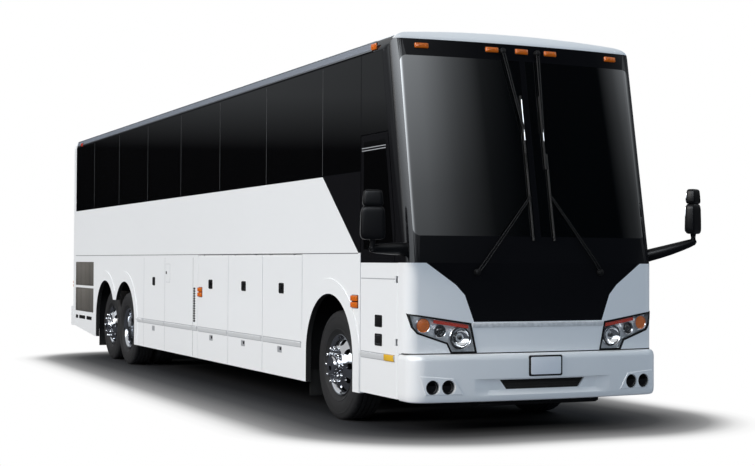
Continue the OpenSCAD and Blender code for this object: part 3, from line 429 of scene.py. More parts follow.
for hand in SIDES:
    two_tone("side_wall_" + hand, SILL - 0.004)
    dress("lower_side_" + hand, "white flap", 0.003, second=arch_return)
    dress("side_glass_" + hand, "glass")
    for n in (1, 2, 3):
        dress("baggage_door_%s_%d" % (hand, n), "white", 0.003)
rows = [BROW_LOW + (BROW_HIGH - BROW_LOW) * t for t in (0.07, 0.15, 0.25, 0.37, 0.50, 0.65, 0.82)]
ends = [((x, 0, 0), (1, 0, 0)) for x in COVE_ENDS]
dress("roof", "roof black", reshape=domed, second=in_cove,
      cuts=[level_cut(COVE_TOP)] + ends + [level_cut(z) for z in rows])
for node, edge in (("front_fascia", 0.0), ("rear_cap", 0.0), ("rear_bumper", 0.006), ("engine_door", 0.004)):
    dress(node, "white", edge)
two_tone("entrance_door", BELT - 0.002, 0.003)
two_tone("driver_side_panel", BELT - 0.002, 0.003)
dress("shoulders", "black")
dress("front_panel", "black")
dress("windshield_frame", "black post",
      second=lambda c, n: abs(c.y) > 1.13 and 1.66 < c.z < HEAD)
dress("windshield", "screen")
dress("entrance_glass", "glass")
dress("rear_window", "glass")

# %% [markdown]
# The frame, floors, axles, springs and housings stay as their solids and only receive a material.

# %% Materials for the solids that stay
stays = {"underframe": "chassis", "passenger_floor": "floor", "driver_platform": "floor",
         "engine": "iron", "wheel_housings": "plastic", "mudflaps": "flap", "dashboard": "plastic",
         "front_axle": "chassis", "drive_axle": "chassis", "tag_axle": "chassis",
         "knuckle_right": "chassis", "knuckle_left": "chassis"}
for node, key in stays.items():
    obj = frame["nodes"][node]
    for index in range(max(1, len(obj.material_slots))):
        if not obj.material_slots:
            obj.data.materials.append(M[key])
        obj.material_slots[index].material = M[key]
print(len(stays), "solids keep their shape")

# %% [markdown]
# ## Copies made by Geometry Nodes
# Wheel nuts, hand holes, grille fins and seats repeat. Two small node trees make them: one sets copies
# of an item on a ring, the other on a line. The result is realised and read back as a plain mesh.

# %% Two trees for repeats
def repeat_tree(name, ring):
    tree = bpy.data.node_groups.new(name, "GeometryNodeTree")
    sockets = (("Copies", "NodeSocketInt"), ("Radius", "NodeSocketFloat"), ("Step", "NodeSocketVector"),
               ("Item", "NodeSocketObject"), ("Finish", "NodeSocketMaterial"))
    tree.interface.new_socket("Geometry", in_out="OUTPUT", socket_type="NodeSocketGeometry")
    for label, kind in sockets:
        tree.interface.new_socket(label, in_out="INPUT", socket_type=kind)
    new, link = tree.nodes.new, tree.links.new
    given, out = new("NodeGroupInput").outputs, new("NodeGroupOutput")
    place = new("GeometryNodeInstanceOnPoints")
    if ring:
        points = new("GeometryNodeMeshCircle")
        link(given["Copies"], points.inputs["Vertices"])
        link(given["Radius"], points.inputs["Radius"])
        part, turn, angle = new("ShaderNodeMath"), new("ShaderNodeMath"), new("ShaderNodeCombineXYZ")
        part.operation, turn.operation = "DIVIDE", "MULTIPLY"
        link(new("GeometryNodeInputIndex").outputs[0], part.inputs[0])
        link(given["Copies"], part.inputs[1])
        link(part.outputs[0], turn.inputs[0])
        turn.inputs[1].default_value = math.tau
        link(turn.outputs[0], angle.inputs["Z"])
        link(angle.outputs[0], place.inputs["Rotation"])
    else:
        points = new("GeometryNodeMeshLine")
        link(given["Copies"], points.inputs["Count"])
        link(given["Step"], points.inputs["Offset"])
    item, real, paint = (new("GeometryNodeObjectInfo"), new("GeometryNodeRealizeInstances"),
                         new("GeometryNodeSetMaterial"))
    link(given["Item"], item.inputs["Object"])
    link(points.outputs["Mesh"], place.inputs["Points"])
    link(item.outputs["Geometry"], place.inputs["Instance"])
    link(place.outputs["Instances"], real.inputs["Geometry"])
    link(real.outputs["Geometry"], paint.inputs["Geometry"])
    link(given["Finish"], paint.inputs["Material"])
    link(paint.outputs["Geometry"], out.inputs["Geometry"])
    return tree


ON_RING, ON_LINE = repeat_tree("copies_on_ring", True), repeat_tree("copies_on_line", False)


def copies(tree, mesh, key, count, radius=0.0, step=(0, 0, 0)):
    item, host = drawn(mesh, "item"), drawn(bpy.data.meshes.new("host"))
    mod = host.modifiers.new("Copies", "NODES")
    mod.node_group = tree
    values = {"Copies": count, "Radius": radius, "Step": step, "Item": item, "Finish": M[key]}
    for socket in tree.interface.items_tree:
        if socket.in_out == "INPUT":
            mod[socket.identifier] = values[socket.name]
    made = baked(host)
    bpy.data.objects.remove(item)
    return made


print("trees:", ON_RING.name, ON_LINE.name)

# %% [markdown]
# ## Tyres
# A coach tyre carries four straight grooves, a notched shoulder and two fine ribs on the sidewall. The
# section is turned about the axle, and every third step of the turn is cut back a little at the
# shoulder, which leaves the row of blocks seen at the edge of the tread.

# %% Turn the tyres
wall = [(0.2868, 0.1125), (0.306, 0.1125), (0.319, 0.1205), (0.336, 0.136), (0.350, 0.1450), (0.352, 0.1475),
        (0.358, 0.1475), (0.360, 0.1460), (0.386, 0.1535), (0.412, 0.1560), (0.440, 0.1555), (0.468, 0.1520),
        (0.470, 0.1540), (0.479, 0.1530), (0.481, 0.1500), (0.505, 0.1435), (0.521, 0.1340), (0.531, 0.1220),
        (0.5365, 0.1120), (0.538, 0.0990), (0.538, 0.0840), (0.526, 0.0820), (0.526, 0.0720), (0.538, 0.0700),
        (0.538, 0.0330), (0.526, 0.0310), (0.526, 0.0210), (0.538, 0.0190)]
tyre_profile = wall + [(r, -o) for r, o in reversed(wall)]


def shoulder(i, r, o):
    return 0.007 if i % 3 == 0 and r > 0.53 and abs(o) > 0.083 else 0.0


def axle_frame(x, y, side):
    return lambda a, b, o: (x + a, side * (y + o), WHEEL_Z + b)


def tyre(x, y, side):
    return turned(tyre_profile, axle_frame(x, y, side), 132, shoulder)


TWIN = 0.175                               # half the distance between the drive axle's twin tyres
for hand, side in SIDES.items():
    for name in ("front", "tag"):
        kit = Kit("tyre").add(tyre(WHEEL_X[name], WHEEL_Y[name], side))
        show("tyre_%s_%s_tread" % (name, hand), kit.mesh("tyre"), "wheel_%s_%s" % (name, hand),
             ["tyre_%s_%s" % (name, hand)])
    kit = Kit("tyre")
    for out in (-TWIN, TWIN):
        kit.add(tyre(WHEEL_X["drive"], WHEEL_Y["drive"] + out, side))
    show("tyres_drive_%s_tread" % hand, kit.mesh("tyres"), "wheel_drive_" + hand,
         ["tyres_drive_" + hand])

# %% [markdown]
# ## Wheels
# The wheels are forged discs: a bright dish with ten hand holes, a rolled rim lip, ten long nuts and a
# hub cap. The disc is turned, a ring of drills is taken away with a Boolean, and the nuts are copies on a
# ring. On the front and tag axles flange, nuts and hub stand out past the lip. The drive wheel is the
# same forging turned round, so its dish runs deep inside the outer twin.

# %% Forge the wheels
near_disc = [(0.100, 0.172), (0.187, 0.172), (0.192, 0.168), (0.199, 0.156), (0.222, 0.134), (0.246, 0.118),
             (0.2570, 0.1030), (0.2620, 0.0980), (0.2690, 0.1040), (0.2780, 0.1150), (0.2890, 0.1235),
             (0.2985, 0.1265), (0.3030, 0.1245), (0.30375, 0.1200), (0.3030, 0.1150), (0.2857, 0.1145),
             (0.2857, -0.1145), (0.30375, -0.1145), (0.30375, -0.1265), (0.2607, -0.1265), (0.2607, 0.0600),
             (0.240, 0.0920), (0.214, 0.1140), (0.186, 0.1500), (0.100, 0.1540)]
half_deep = [(0.100, 0.016), (0.180, 0.016), (0.204, 0.030), (0.232, 0.064), (0.2600, 0.0860),
             (0.2620, 0.2600),
             (0.2690, 0.2790), (0.2780, 0.2900), (0.2890, 0.2985), (0.2985, 0.3015), (0.3030, 0.2995),
             (0.30375, 0.2950), (0.3030, 0.2900), (0.2857, 0.2895), (0.2857, 0.0605), (0.30375, 0.0605),
             (0.30375, 0.0485), (0.2680, 0.0485)]
deep_disc = half_deep + [(r, -o) for r, o in reversed(half_deep)]
nut = [(0.0, -0.002), (0.0215, -0.002), (0.0215, 0.007), (0.0165, 0.010), (0.0165, 0.036),
       (0.0120, 0.044), (0.0, 0.046)]
drill = [(0.0, -0.20), (0.0300, -0.20), (0.0300, 0.20), (0.0, 0.20)]
bolt = [(0.0, -0.002), (0.0095, -0.002), (0.0095, 0.007), (0.0, 0.009)]
near_hub = [(0.0, 0.150), (0.120, 0.150), (0.120, 0.182), (0.116, 0.187), (0.096, 0.189), (0.093, 0.214),
            (0.085, 0.226), (0.036, 0.230), (0.030, 0.227), (0.0, 0.227)]
deep_hub = [(0.0, -0.016), (0.128, -0.016), (0.128, 0.060), (0.122, 0.068), (0.106, 0.072), (0.104, 0.138),
            (0.098, 0.147), (0.040, 0.149), (0.036, 0.145), (0.0, 0.145)]


def plain(a, b, o):
    return (a, b, o)


def ring_of(profile, count, radius, key="chrome", sides=12):
    return copies(ON_RING, Kit(key).add(turned(profile, plain, sides)).mesh("item"), key, count, radius)


HOLE_RING, NUT_RING = 0.2340, 0.1675
# Disc, hub, height of the nuts' seat, then number, ring and seat of the hub's bolts
NEAR = (near_disc, near_hub, 0.172, (8, 0.106, 0.187))
DEEP = (deep_disc, deep_hub, 0.016, (10, 0.082, 0.147))
for hand, side in SIDES.items():
    for name, (disc, hub, seat, bolts) in (("front", NEAR), ("drive", DEEP), ("tag", NEAR)):
        x, y = WHEEL_X[name], WHEEL_Y[name]
        axle = Matrix(((1, 0, 0, x), (0, 0, side, side * y), (0, 1, 0, WHEEL_Z), (0, 0, 0, 1)))
        forging = Kit("alloy").add(turned(disc, plain, 96)).mesh("disc")
        kit = Kit("alloy", "chrome")
        kit.add(as_shape(carved(forging, ring_of(drill, 10, HOLE_RING, "alloy", 20)), axle))
        kit.add(as_shape(ring_of(nut, 10, NUT_RING), axle @ Matrix.Translation((0, 0, seat))), "chrome")
        kit.add(turned(hub, axle_frame(x, y, side)), "alloy")
        bolt_seat = axle @ Matrix.Translation((0, 0, bolts[2]))
        kit.add(as_shape(ring_of(bolt, bolts[0], bolts[1]), bolt_seat), "chrome")
        node = "rims_drive_" + hand if name == "drive" else "rim_%s_%s" % (name, hand)
        show(node + "_forged", kit.mesh("wheel"), "wheel_%s_%s" % (name, hand), [node])

# %% [markdown]
# ## Front bumper
# The bumper is one moulding that wraps from wheel arch to wheel arch. Its section is carried along the
# bowed outline of the nose: a rounded top shelf, a nearly upright face and a tucked lower edge. A pod
# swells at each end, a shallow scoop runs across the middle, and the intake and the four fog lamps are
# cut through, all with Booleans.

# %% Sweep the bumper
def on_bumper(y, z, h):
    x, nx, ny = bow(y, BUMPER_X, BUMPER_CORNER)
    return (x + h * nx, y + h * ny, z)


def bumper_strip(ys, section_at):
    return stack([[on_bumper(y, z, h) for z, h in section_at(y)] for y in ys])


def bumper_stations(n=61):
    def share(e):
        if abs(e) > 0.5:
            return 0.9995 * math.sin(e * math.pi / 2)
        return e / 0.5 * math.sin(math.pi / 4) * 0.9995
    return [HALF * share(e) for e in spread(-1.0, 1.0, n)]


def along(table, y):
    for (a, za), (b, zb) in zip(table, table[1:]):
        if y <= b:
            return za + (zb - za) * max(0.0, (y - a) / (b - a))
    return table[-1][1]


def facing(x, y, z):
    return lambda a, b, o: (x + o, y + a, z + b)


SECTION = [(0.330, -0.085), (0.330, -0.032), (0.338, -0.014), (0.360, -0.003), (0.400, 0.0),
           (0.690, 0.0), (0.722, -0.006), (0.741, -0.020), (0.748, -0.040), (0.748, -0.085)]
POD_ENDS = (0.815, 1.205)
POD_LOW = ((0.815, 0.394), (1.165, 0.396), (1.205, 0.540))
POD_TOP = ((0.815, 0.398), (0.905, 0.547), (1.205, 0.570))
SCOOP_DEPTH = ((0.0, 0.045), (0.45, 0.043), (0.56, 0.030), (0.76, -0.010))
INTAKE = ((-0.440, 0.517), (0.440, 0.517), (0.375, 0.432), (-0.375, 0.432))
FOG_Y, FOG_Z, FOG_R = (0.950, 1.095), 0.465, 0.062


def pod_section(y):
    low, top = along(POD_LOW, abs(y)), along(POD_TOP, abs(y))
    soft = min(0.010, (top - low) / 3)
    face = ((low, -0.002), (low + soft, 0.006), (top - soft, 0.006), (top, -0.002))
    return ((low, -0.02), *face, (top, -0.02))


def scoop_section(y):
    deep = -along(SCOOP_DEPTH, abs(y))
    return ((0.385, 0.03), (0.385, 0.0), (0.428, deep), (0.529, deep), (0.533, 0.03))


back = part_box("front_bumper")[0].x
tails = [[(back, side * (HALF + h), z) for z, h in SECTION] for side in (-1, 1)]
sweep = [[on_bumper(y, z, h) for z, h in SECTION] for y in bumper_stations()]
moulding = Kit("white").add(stack([tails[0]] + sweep + [tails[1]])).mesh("bumper")
pods, holes, scoop = Kit("white"), Kit("white"), Kit("white")
for side in (-1, 1):
    pods.add(bumper_strip([side * y for y in spread(*POD_ENDS, 27)], pod_section))
    for y in FOG_Y:
        holes.add(turned([(0.0, -0.05), (FOG_R, -0.05), (FOG_R + 0.004, 0.04), (0.0, 0.04)],
                         facing(bow(y, BUMPER_X, BUMPER_CORNER)[0], side * y, FOG_Z), 40))
holes.add(stack([[(x, y, z) for y, z in INTAKE] for x in (6.80, 7.0)]))
scoop.add(bumper_strip(spread(-0.76, 0.76, 41), scoop_section))
moulding = carved(moulding, pods.mesh("pods"), "UNION")
moulding = carved(moulding, scoop.mesh("scoop"))
moulding = carved(moulding, holes.mesh("holes"))
show("front_bumper_moulding", moulding, "coach", ["front_bumper"], even=True)

# %% [markdown]
# ## Intake, fog lamps and plate
# Three slats and a dark back close the intake, a lip hangs below the bumper and a rubber line closes the
# joint above it. Each fog lamp is a black ring with a dark body behind a domed, tinted lens. The plate is
# blank, in a thin black frame.

# %% Lay the fittings on the bumper
kit = Kit("plastic", "flap", "plate")


def flat_bar(z0, z1, h0, h1):
    return lambda y: ((z0, h0), (z0, h1), (z1, h1), (z1, h0))


for k in range(3):
    mid = 0.450 + 0.024 * k
    kit.add(bumper_strip(spread(-0.40, 0.40, 19), flat_bar(mid - 0.003, mid + 0.003, -0.064, -0.056)), "flap")
TOP_LINE = [(-0.004, -0.012), (-0.004, 0.0015), (0.005, 0.0015), (0.005, -0.012)]
kit.add(nose_strip(TOP_LINE, bumper_stations(), lambda y: 0.752), "flap")
CHIN = ((6.600, 0.345), (6.840, 0.345), (6.835, 0.300), (6.790, 0.280), (6.600, 0.285))
kit.add(stack([[(x, y, z) for x, z in CHIN] for y in (-0.62, -0.58, 0.0, 0.58, 0.62)]))
kit.add(bumper_strip(spread(-0.44, 0.44, 19), flat_bar(0.425, 0.520, -0.072, -0.062)), "flap")
FOG_RING = [(FOG_R - 0.001, -0.03), (FOG_R - 0.001, 0.004), (FOG_R - 0.008, 0.008), (0.048, 0.002),
            (0.048, -0.03)]
FOG_BODY = [(0.0, -0.020), (0.048, -0.020), (0.048, -0.006), (0.030, 0.002), (0.0, 0.005)]
FOG_LENS = [(0.0, 0.010), (0.050, 0.003), (0.050, 0.001), (0.0, 0.008)]
lens = Kit("glass")
for side in (-1, 1):
    for y in FOG_Y:
        ahead = facing(bow(y, BUMPER_X, BUMPER_CORNER)[0] - 0.022, side * y, FOG_Z)
        kit.add(turned(FOG_RING, ahead, 40), "plastic")
        kit.add(turned(FOG_BODY, ahead, 40), "flap")
        lens.add(turned(FOG_LENS, ahead, 40))


def on_plate(y, z, h):
    return (BUMPER_X + h, y, z)


border = rounded(-0.172, 0.545, 0.172, 0.730, 0.015)
kit.add(slab(border, ((0, -0.006), (0, 0.004), (0.004, 0.007)), on_plate), "plastic")
blank = rounded(-0.155, 0.560, 0.155, 0.715, 0.012)
kit.add(slab(blank, ((0, 0.004), (0, 0.009), (0.003, 0.010)), on_plate), "plate")
show("bumper_fittings", kit.mesh("fittings"), "coach", ["fog_lamps", "front_plate"])
show("fog_lamp_lenses", lens.mesh("lenses"), "coach")

# %% [markdown]
# ## Headlamps
# Each headlamp wraps round the corner of the nose. Behind one clear cover sit a silver tub, a main bowl,
# a small projector and an amber turn lamp, under a red reflex strip. Upper and lower edges are given
# as functions of the distance from the middle, so a grid between them follows the rounded corner.

# %% Build the headlamps
UPPER = ((0.640, 0.756), (0.696, 1.018), (1.275, 1.105))
LOWER = ((0.640, 0.755), (0.886, 0.755), (0.927, 0.838), (1.200, 0.929), (1.245, 0.985), (1.275, 1.100))
LAMP_IN, LAMP_OUT = LOWER[0][0], LOWER[-1][0]


def lamp_sheet(side, depth, thick, rim):
    inner, outer = LAMP_IN + rim, LAMP_OUT - rim
    kinks = [y for y, _ in UPPER[1:2] + LOWER[1:5] if rim < y - LAMP_IN and y < outer]
    rings = []
    for y in sorted(set([round(v, 4) for v in spread(inner, outer, 34)] + kinks)):
        low = along(LOWER, y) + rim
        zs = spread(low, max(along(UPPER, y) - rim, low + 0.0005), 9)
        front = [on_nose(side * y, z, depth) for z in zs]
        rings.append(front + [on_nose(side * y, z, depth - thick) for z in reversed(zs)])
    return stack(rings)


def bezel(r, back, front):
    return [(r + 0.004, back), (r + 0.004, front - 0.004), (r, front), (r - 0.004, front - 0.004),
            (r - 0.004, back)]


def reflector(r):
    return [(0.0, -0.050), (r * 0.5, -0.046), (r * 0.85, -0.026), (r * 0.97, -0.010), (r, -0.009),
            (r, -0.052), (0.0, -0.054)]


BULB = [(0.0, -0.047), (0.020, -0.047), (0.020, -0.020), (0.012, -0.014), (0.0, -0.013)]
PROJECTOR = [(0.0, -0.047), (0.030, -0.047), (0.030, -0.022), (0.026, -0.018), (0.0, -0.012)]
TURN_LENS = [(0.0, -0.040), (0.058, -0.034), (0.058, -0.018), (0.036, -0.010), (0.0, -0.007)]
# Place and radius of each reflector, and what stands in it: profile, number of sides, material
LAMPS = ((0.790, 0.890, 0.084, ((BULB, 24, "glass"), (bezel(0.090, -0.046, -0.012), 48, "plastic"),
                                (bezel(0.100, -0.046, -0.012), 48, "chrome"))),
         (0.985, 0.951, 0.056, ((PROJECTOR, 32, "glass"), (bezel(0.040, -0.040, -0.022), 32, "plastic"))),
         (1.140, 1.000, 0.064, ((TURN_LENS, 32, "amber"),)))
REFLEX = [(-0.050, -0.020), (-0.050, -0.008), (-0.018, -0.008), (-0.018, -0.020)]
corners = list(UPPER) + list(reversed(LOWER[1:-1]))
outline = [(a[0] + (b[0] - a[0]) * k / 8, a[1] + (b[1] - a[1]) * k / 8)
           for a, b in zip(corners, corners[1:] + corners[:1]) for k in range(8)]
kit = Kit("plastic", "silver", "chrome", "amber", "glass", "red")
cover = Kit("clear")
for side in (-1, 1):
    rim = ((-0.002, -0.010), (-0.002, 0.003), (0.003, 0.005), (0.014, 0.004), (0.014, -0.010))
    kit.add(slab(outline, rim, lambda y, z, h: on_nose(side * y, z, h), loop=True), "plastic")
    kit.add(lamp_sheet(side, -0.046, 0.008, 0.008), "silver")
    cover.add(lamp_sheet(side, 0.002, 0.003, 0.009))
    for y, z, r, inside in LAMPS:
        x, nx, ny = bow(y * side, NOSE_X, NOSE_CORNER)
        swing = math.atan2(ny, nx) * 0.6
        c, s = math.cos(swing), math.sin(swing)

        def ahead(a, b, o):
            return (x + o * c - a * s, y * side + o * s + a * c, z + b)
        kit.add(turned(reflector(r), ahead, 40), "chrome")
        for profile, sides, key in inside:
            kit.add(turned(profile, ahead, sides), key)
    ys = [side * y for y in spread(0.716, 1.045, 16)]
    kit.add(nose_strip(REFLEX, ys, lambda y: along(UPPER, abs(y))), "red")
show("headlamp_units", kit.mesh("headlamps"), "coach", ["headlamps"])
show("headlamp_covers", cover.mesh("covers"), "coach")

# %% [markdown]
# ## Front trim
# A bright strip underlines the black panel between the lamps. It is a shallow section carried along the
# bowed nose.

# %% Bright strip
BRIGHT = [(0.0, -0.004), (0.0, 0.006), (0.006, 0.010), (0.034, 0.010), (0.040, 0.006), (0.040, -0.004)]
kit = Kit("silver").add(nose_strip(BRIGHT, spread(-0.68, 0.68, 33), lambda y: 0.980))
show("front_bright_strip", kit.mesh("strip"), "coach")

# %% [markdown]
# ## Mirrors
# Each mirror stands on a thick arm from the corner post: a tall main head, and a small wide-angle head on
# top of it. The shells are rounded boxes that narrow upwards, with the glass let into the rear face. The
# two sides are swung and set at their own heights, as a driver sets them.

# %% Model the mirrors
def shell(centre, size, power=0.42, rings=14, sides=28):
    def bend(value):
        return math.copysign(abs(value) ** power, value)
    layers = []
    for k in range(rings + 1):
        p = -math.pi / 2 + math.pi * k / rings
        layers.append([(centre[0] + size[0] * bend(math.cos(p)) * bend(math.cos(t)),
                        centre[1] + size[1] * bend(math.cos(p)) * bend(math.sin(t)),
                        centre[2] + size[2] * bend(math.sin(p)))
                       for t in (math.tau * i / sides for i in range(sides))])
    return stack(layers)


def set_head(shape, x, y, z0, z1, top, swing):
    c, s = math.cos(swing), math.sin(swing)
    points = []
    for p in shape[0]:
        k = 1.0 + (top - 1.0) * (p[2] - z0) / (z1 - z0)
        a, b = (p[0] - x) * k, (p[1] - y) * k
        points.append((x + a * c - b * s, y + a * s + b * c, p[2]))
    return points, shape[1]


MIRROR_X, MIRROR_Y = 6.858, 1.670
# Side, foot of the main head, swing, heights of the arm's tip and root
MIRRORS = ((-1, 1.745, math.radians(-16), 1.668, 1.672), (1, 1.835, math.radians(32), 1.765, 1.600))
# Lower and upper edge above the foot, half width, narrowing at the top
HEADS = ((0.0, 0.290, 0.110, 0.92), (0.286, 0.428, 0.092, 0.84))
STALK = [(0.026, 0.026), (0.022, 0.022), (0.030, 0.030)]
# Share of the arm's length and half sizes of its section there
ARM = ((0.0, (0.046, 0.060)), (0.16, (0.046, 0.059)), (0.34, (0.044, 0.056)), (0.52, (0.041, 0.052)),
       (0.70, (0.037, 0.046)), (0.86, (0.033, 0.040)), (0.98, (0.028, 0.032)), (1.02, (0.012, 0.014)))
kit = Kit("shell", "chrome")
for side, low, swing, tip_z, root_z in MIRRORS:
    x, y = MIRROR_X, side * MIRROR_Y
    for under, over, wide, top in HEADS:
        z0, z1 = low + under, low + over
        head = shell((x, y, (z0 + z1) / 2), (0.050, wide, (z1 - z0) / 2), 0.34)
        kit.add(set_head(head, x, y, z0, z1, top, swing), "shell")
        edge = rounded(y - wide * 0.84, z0 + 0.020, y + wide * 0.84, z1 - 0.020, 0.03)
        glass = slab(edge, ((0, 0.0), (0, 0.004), (0.006, 0.006)), lambda a, b, h: (x - 0.047 - h, a, b))
        kit.add(set_head(glass, x, y, z0, z1, top, swing), "chrome")
    stalk = [(x, y, tip_z - 0.02), (x, y, low - 0.03), (x, y, low + 0.02)]
    kit.add(tube(stalk, STALK, 16, Vector((1, 0, 0))))
    root, tip = Vector((6.600, side * 1.200, root_z)), Vector((6.858, side * 1.690, tip_z))
    path = [root.lerp(tip, t) + Vector((0.05, 0, 0)) * math.sin(math.pi * min(t, 1)) for t, _ in ARM]
    kit.add(tube(path, [size for _, size in ARM], 20))
show("mirror_heads", kit.mesh("mirrors"), "coach", ["mirrors"])

# %% [markdown]
# ## Wipers
# Two large wipers park on the lower screen and a smaller pair hangs from the header. Each is a pair of
# thin arms from a pivot to a long blade that lies on the glass; the upper blades have a bright spine.

# %% Model the wipers
# Pivot, middle of the blade and half its length
WIPERS = (((-0.640, 1.470), (-0.060, 2.150), 0.40), ((0.640, 1.470), (0.160, 2.150), 0.40),
          ((-0.205, 3.500), (-0.060, 2.750), 0.34), ((0.160, 3.500), (0.140, 2.750), 0.34))
LIE = Vector((1, 0, 0.2))
PIVOT = ((-0.002, 0.030), (0.020, 0.030), (0.036, 0.026), (0.042, 0.012))
kit = Kit("plastic", "flap", "chrome")
for foot, tip, reach in WIPERS:
    run = Vector((tip[0] - foot[0], tip[1] - foot[1])).normalized()
    for shift in (-0.012, 0.012):
        sidestep = Vector((-run.y, run.x)) * shift
        start, end = Vector(foot) + sidestep, Vector(tip) + sidestep * 0.6
        points = [start.lerp(end, t) for t in spread(0, 1, 8)]
        kit.add(tube([on_nose(p.x, p.y, 0.030) for p in points], (0.006, 0.005), 8, LIE), "plastic")
    kit.add(tube([on_nose(*foot, h) for h, _ in PIVOT], [(r, r) for _, r in PIVOT], 20), "plastic")
    blade = [on_nose(tip[0], tip[1] + d, 0.014) for d in spread(-reach, reach, 14)]
    kit.add(tube(blade, (0.010, 0.011), 8, LIE), "flap")
    if foot[1] > SILL:
        spine = [on_nose(tip[0], tip[1] + d, 0.026) for d in spread(-0.08, reach - 0.04, 8)]
        kit.add(tube(spine, (0.005, 0.004), 8, LIE), "chrome")
show("wiper_sets", kit.mesh("wipers"), "coach", ["wipers"])

# %% [markdown]
# ## Side grilles
# Two grilles on each side feed the engine room. Inside a frame stand thin upright fins, copies on a line.

# %% Fit the grilles
GRILLE_X, GRILLE_Z, FINS = (-6.405, -5.105), ((0.703, 1.097), (1.137, 1.530)), 48
FRAME = ((0, -0.006), (0, 0.003), (0.004, 0.005), (0.014, 0.005), (0.014, -0.006))
kit = Kit("grille", "plastic")
for side in SIDES.values():
    lay, (x0, x1) = on_side(side), GRILLE_X
    for z0, z1 in GRILLE_Z:
        opening = rounded(x0, z0, x1, z1, 0.020)
        kit.add(slab(opening, ((0, -0.012), (0, -0.004), (0.002, -0.003)), lay), "plastic")
        edge = rounded(x0 + 0.020, z0 + 0.016, x0 + 0.034, z1 - 0.016, 0.004, 2)
        fin = Kit("grille").add(slab(edge, ((0, -0.004), (0, 0.001), (0.003, 0.003)), lay)).mesh("fin")
        pitch = (x1 - x0 - 0.054) / (FINS - 1)
        kit.add(as_shape(copies(ON_LINE, fin, "grille", FINS, step=(pitch, 0, 0))))
        kit.add(slab(opening, FRAME, lay, loop=True))
show("side_grille_fins", kit.mesh("grilles"), "coach", ["side_grilles"])

# %% [markdown]
# ## Tail lamps
# Four round lamps stand on each rear corner: two red, an amber and a clear one, each a domed lens in a
# black ring.

# %% Fit the tail lamps
TAIL_RING = [(0.0, -0.004), (0.072, -0.004), (0.072, 0.006), (0.066, 0.010), (0.060, 0.008), (0.0, 0.008)]
TAIL_LENS = [(0.0, 0.006), (0.059, 0.006), (0.057, 0.012), (0.030, 0.018), (0.0, 0.020)]
kit = Kit("plastic", "red", "amber", "plate")
for side in (-1, 1):
    for z, key in ((0.90, "plate"), (1.08, "amber"), (1.26, "red"), (1.44, "red")):
        def behind(a, b, o):
            return on_tail(side * 1.020 + a, z + b, o)
        kit.add(turned(TAIL_RING, behind, 40))
        kit.add(turned(TAIL_LENS, behind, 40), key)
show("tail_lamp_sets", kit.mesh("tails"), "coach", ["tail_lamps"])

# %% [markdown]
# ## Marker lamps
# Five amber lamps line the header, an amber and a red one sit in the cove on each side, pairs stand on
# the flanks and three on each rear corner. Each is a ribbed lens on a thin black base, so it is drawn
# once as a slab with two ribs and laid on the nose, the side or the corner.

# %% Fit the marker lamps
kit = Kit("amber", "plastic", "red")


def marker(u, v, wide, tall, proud, place, key="amber"):
    def box(mid, half_u, half_v, r, steps):
        return rounded(mid - half_u, v - half_v, mid + half_u, v + half_v, r, steps)
    base, lens = ((0, -0.002), (0, 0.003), (0.002, 0.004)), (0.002, proud * 0.6, proud * 0.9, proud)
    kit.add(slab(box(u, wide / 2 + 0.006, tall / 2 + 0.006, 0.010, 3), base, place), "plastic")
    kit.add(slab(box(u, wide / 2, tall / 2, 0.008, 3), tuple(zip((0, 0, 0.004, 0.010), lens)), place), key)
    for shift in (-0.25, 0.25):
        rib = box(u + wide * shift, 0.004, tall / 2 - 0.012, 0.003, 2)
        kit.add(slab(rib, ((0, proud * 0.9), (0, proud + 0.003)), place), key)


def on_cove(side, depth):
    return lambda x, z, h: (x, side * (HALF - depth + h), z)


def on_rear_corner(side, degrees):
    c, s, r = math.cos(math.radians(degrees)), math.sin(math.radians(degrees)), 0.190
    return lambda u, v, h: (-6.585 - (r + h) * s - u * c, side * (HALF - r + (r + h) * c - u * s), v)


for y in (-1.005, -0.310, 0.0, 0.310, 1.005):
    marker(y, 3.510, 0.130, 0.046, 0.022, on_nose)
for side in SIDES.values():
    for x, z in ((5.625, 1.212), (5.625, 1.150), (0.746, 1.196), (0.746, 1.134)):
        marker(x, z, 0.140, 0.054, 0.024, on_side(side))
    marker(6.020, 3.535, 0.110, 0.060, 0.020, on_cove(side, 0.014))
    marker(-6.050, 3.515, 0.110, 0.050, 0.020, on_cove(side, 0.010), "red")
    for degrees, z, key in ((38, 1.180, "amber"), (38, 1.120, "amber"), (30, 0.700, "red")):
        marker(0.0, z, 0.060, 0.048, 0.016, on_rear_corner(side, degrees), key)
show("marker_lamp_lenses", kit.mesh("markers"), "coach", ["marker_lamps"])

# %% [markdown]
# ## Trim on the baggage doors
# A rubbing strip runs at bumper height over every door and panel, so it is cut into lengths and each
# length rides with its own door. A baggage door also carries a latch plate with a grip, and two thin
# skins over its hinges, which close the notches for the hinge tabs while the door is shut.

# %% Rub rails, latches and hinge covers
RAIL = [(-0.026, -0.002), (-0.026, 0.002), (0.012, 0.013), (0.020, 0.012), (0.024, 0.004), (0.024, -0.002)]
LINE = [(-0.004, -0.002), (-0.004, 0.0012), (0.004, 0.0012), (0.004, -0.002)]
LATCH = ((0, -0.002), (0, 0.001), (0.003, 0.002))
HINGE_IN = 0.025                           # depth of the hinge axes below the skin
HINGE_REACH = 0.3612                       # from the middle of a baggage door to each hinge


def strip(x0, x1, z, side, section):
    return stack([[(x, side * (HALF + h), z + dz) for dz, h in section] for x in (x0, x1)])


def upright(x, z0, z1, side, half, deep):
    section = ((-half, -deep), (-half, 0.001), (half, 0.001), (half, -deep))
    return stack([[(x + dx, side * (HALF + h), z) for dx, h in section] for z in (z0, z1)])


def patch(kit, box, r, layers, side, key="plastic", steps=5):
    kit.add(slab(rounded(*box, r, steps), layers, on_side(side)), key)


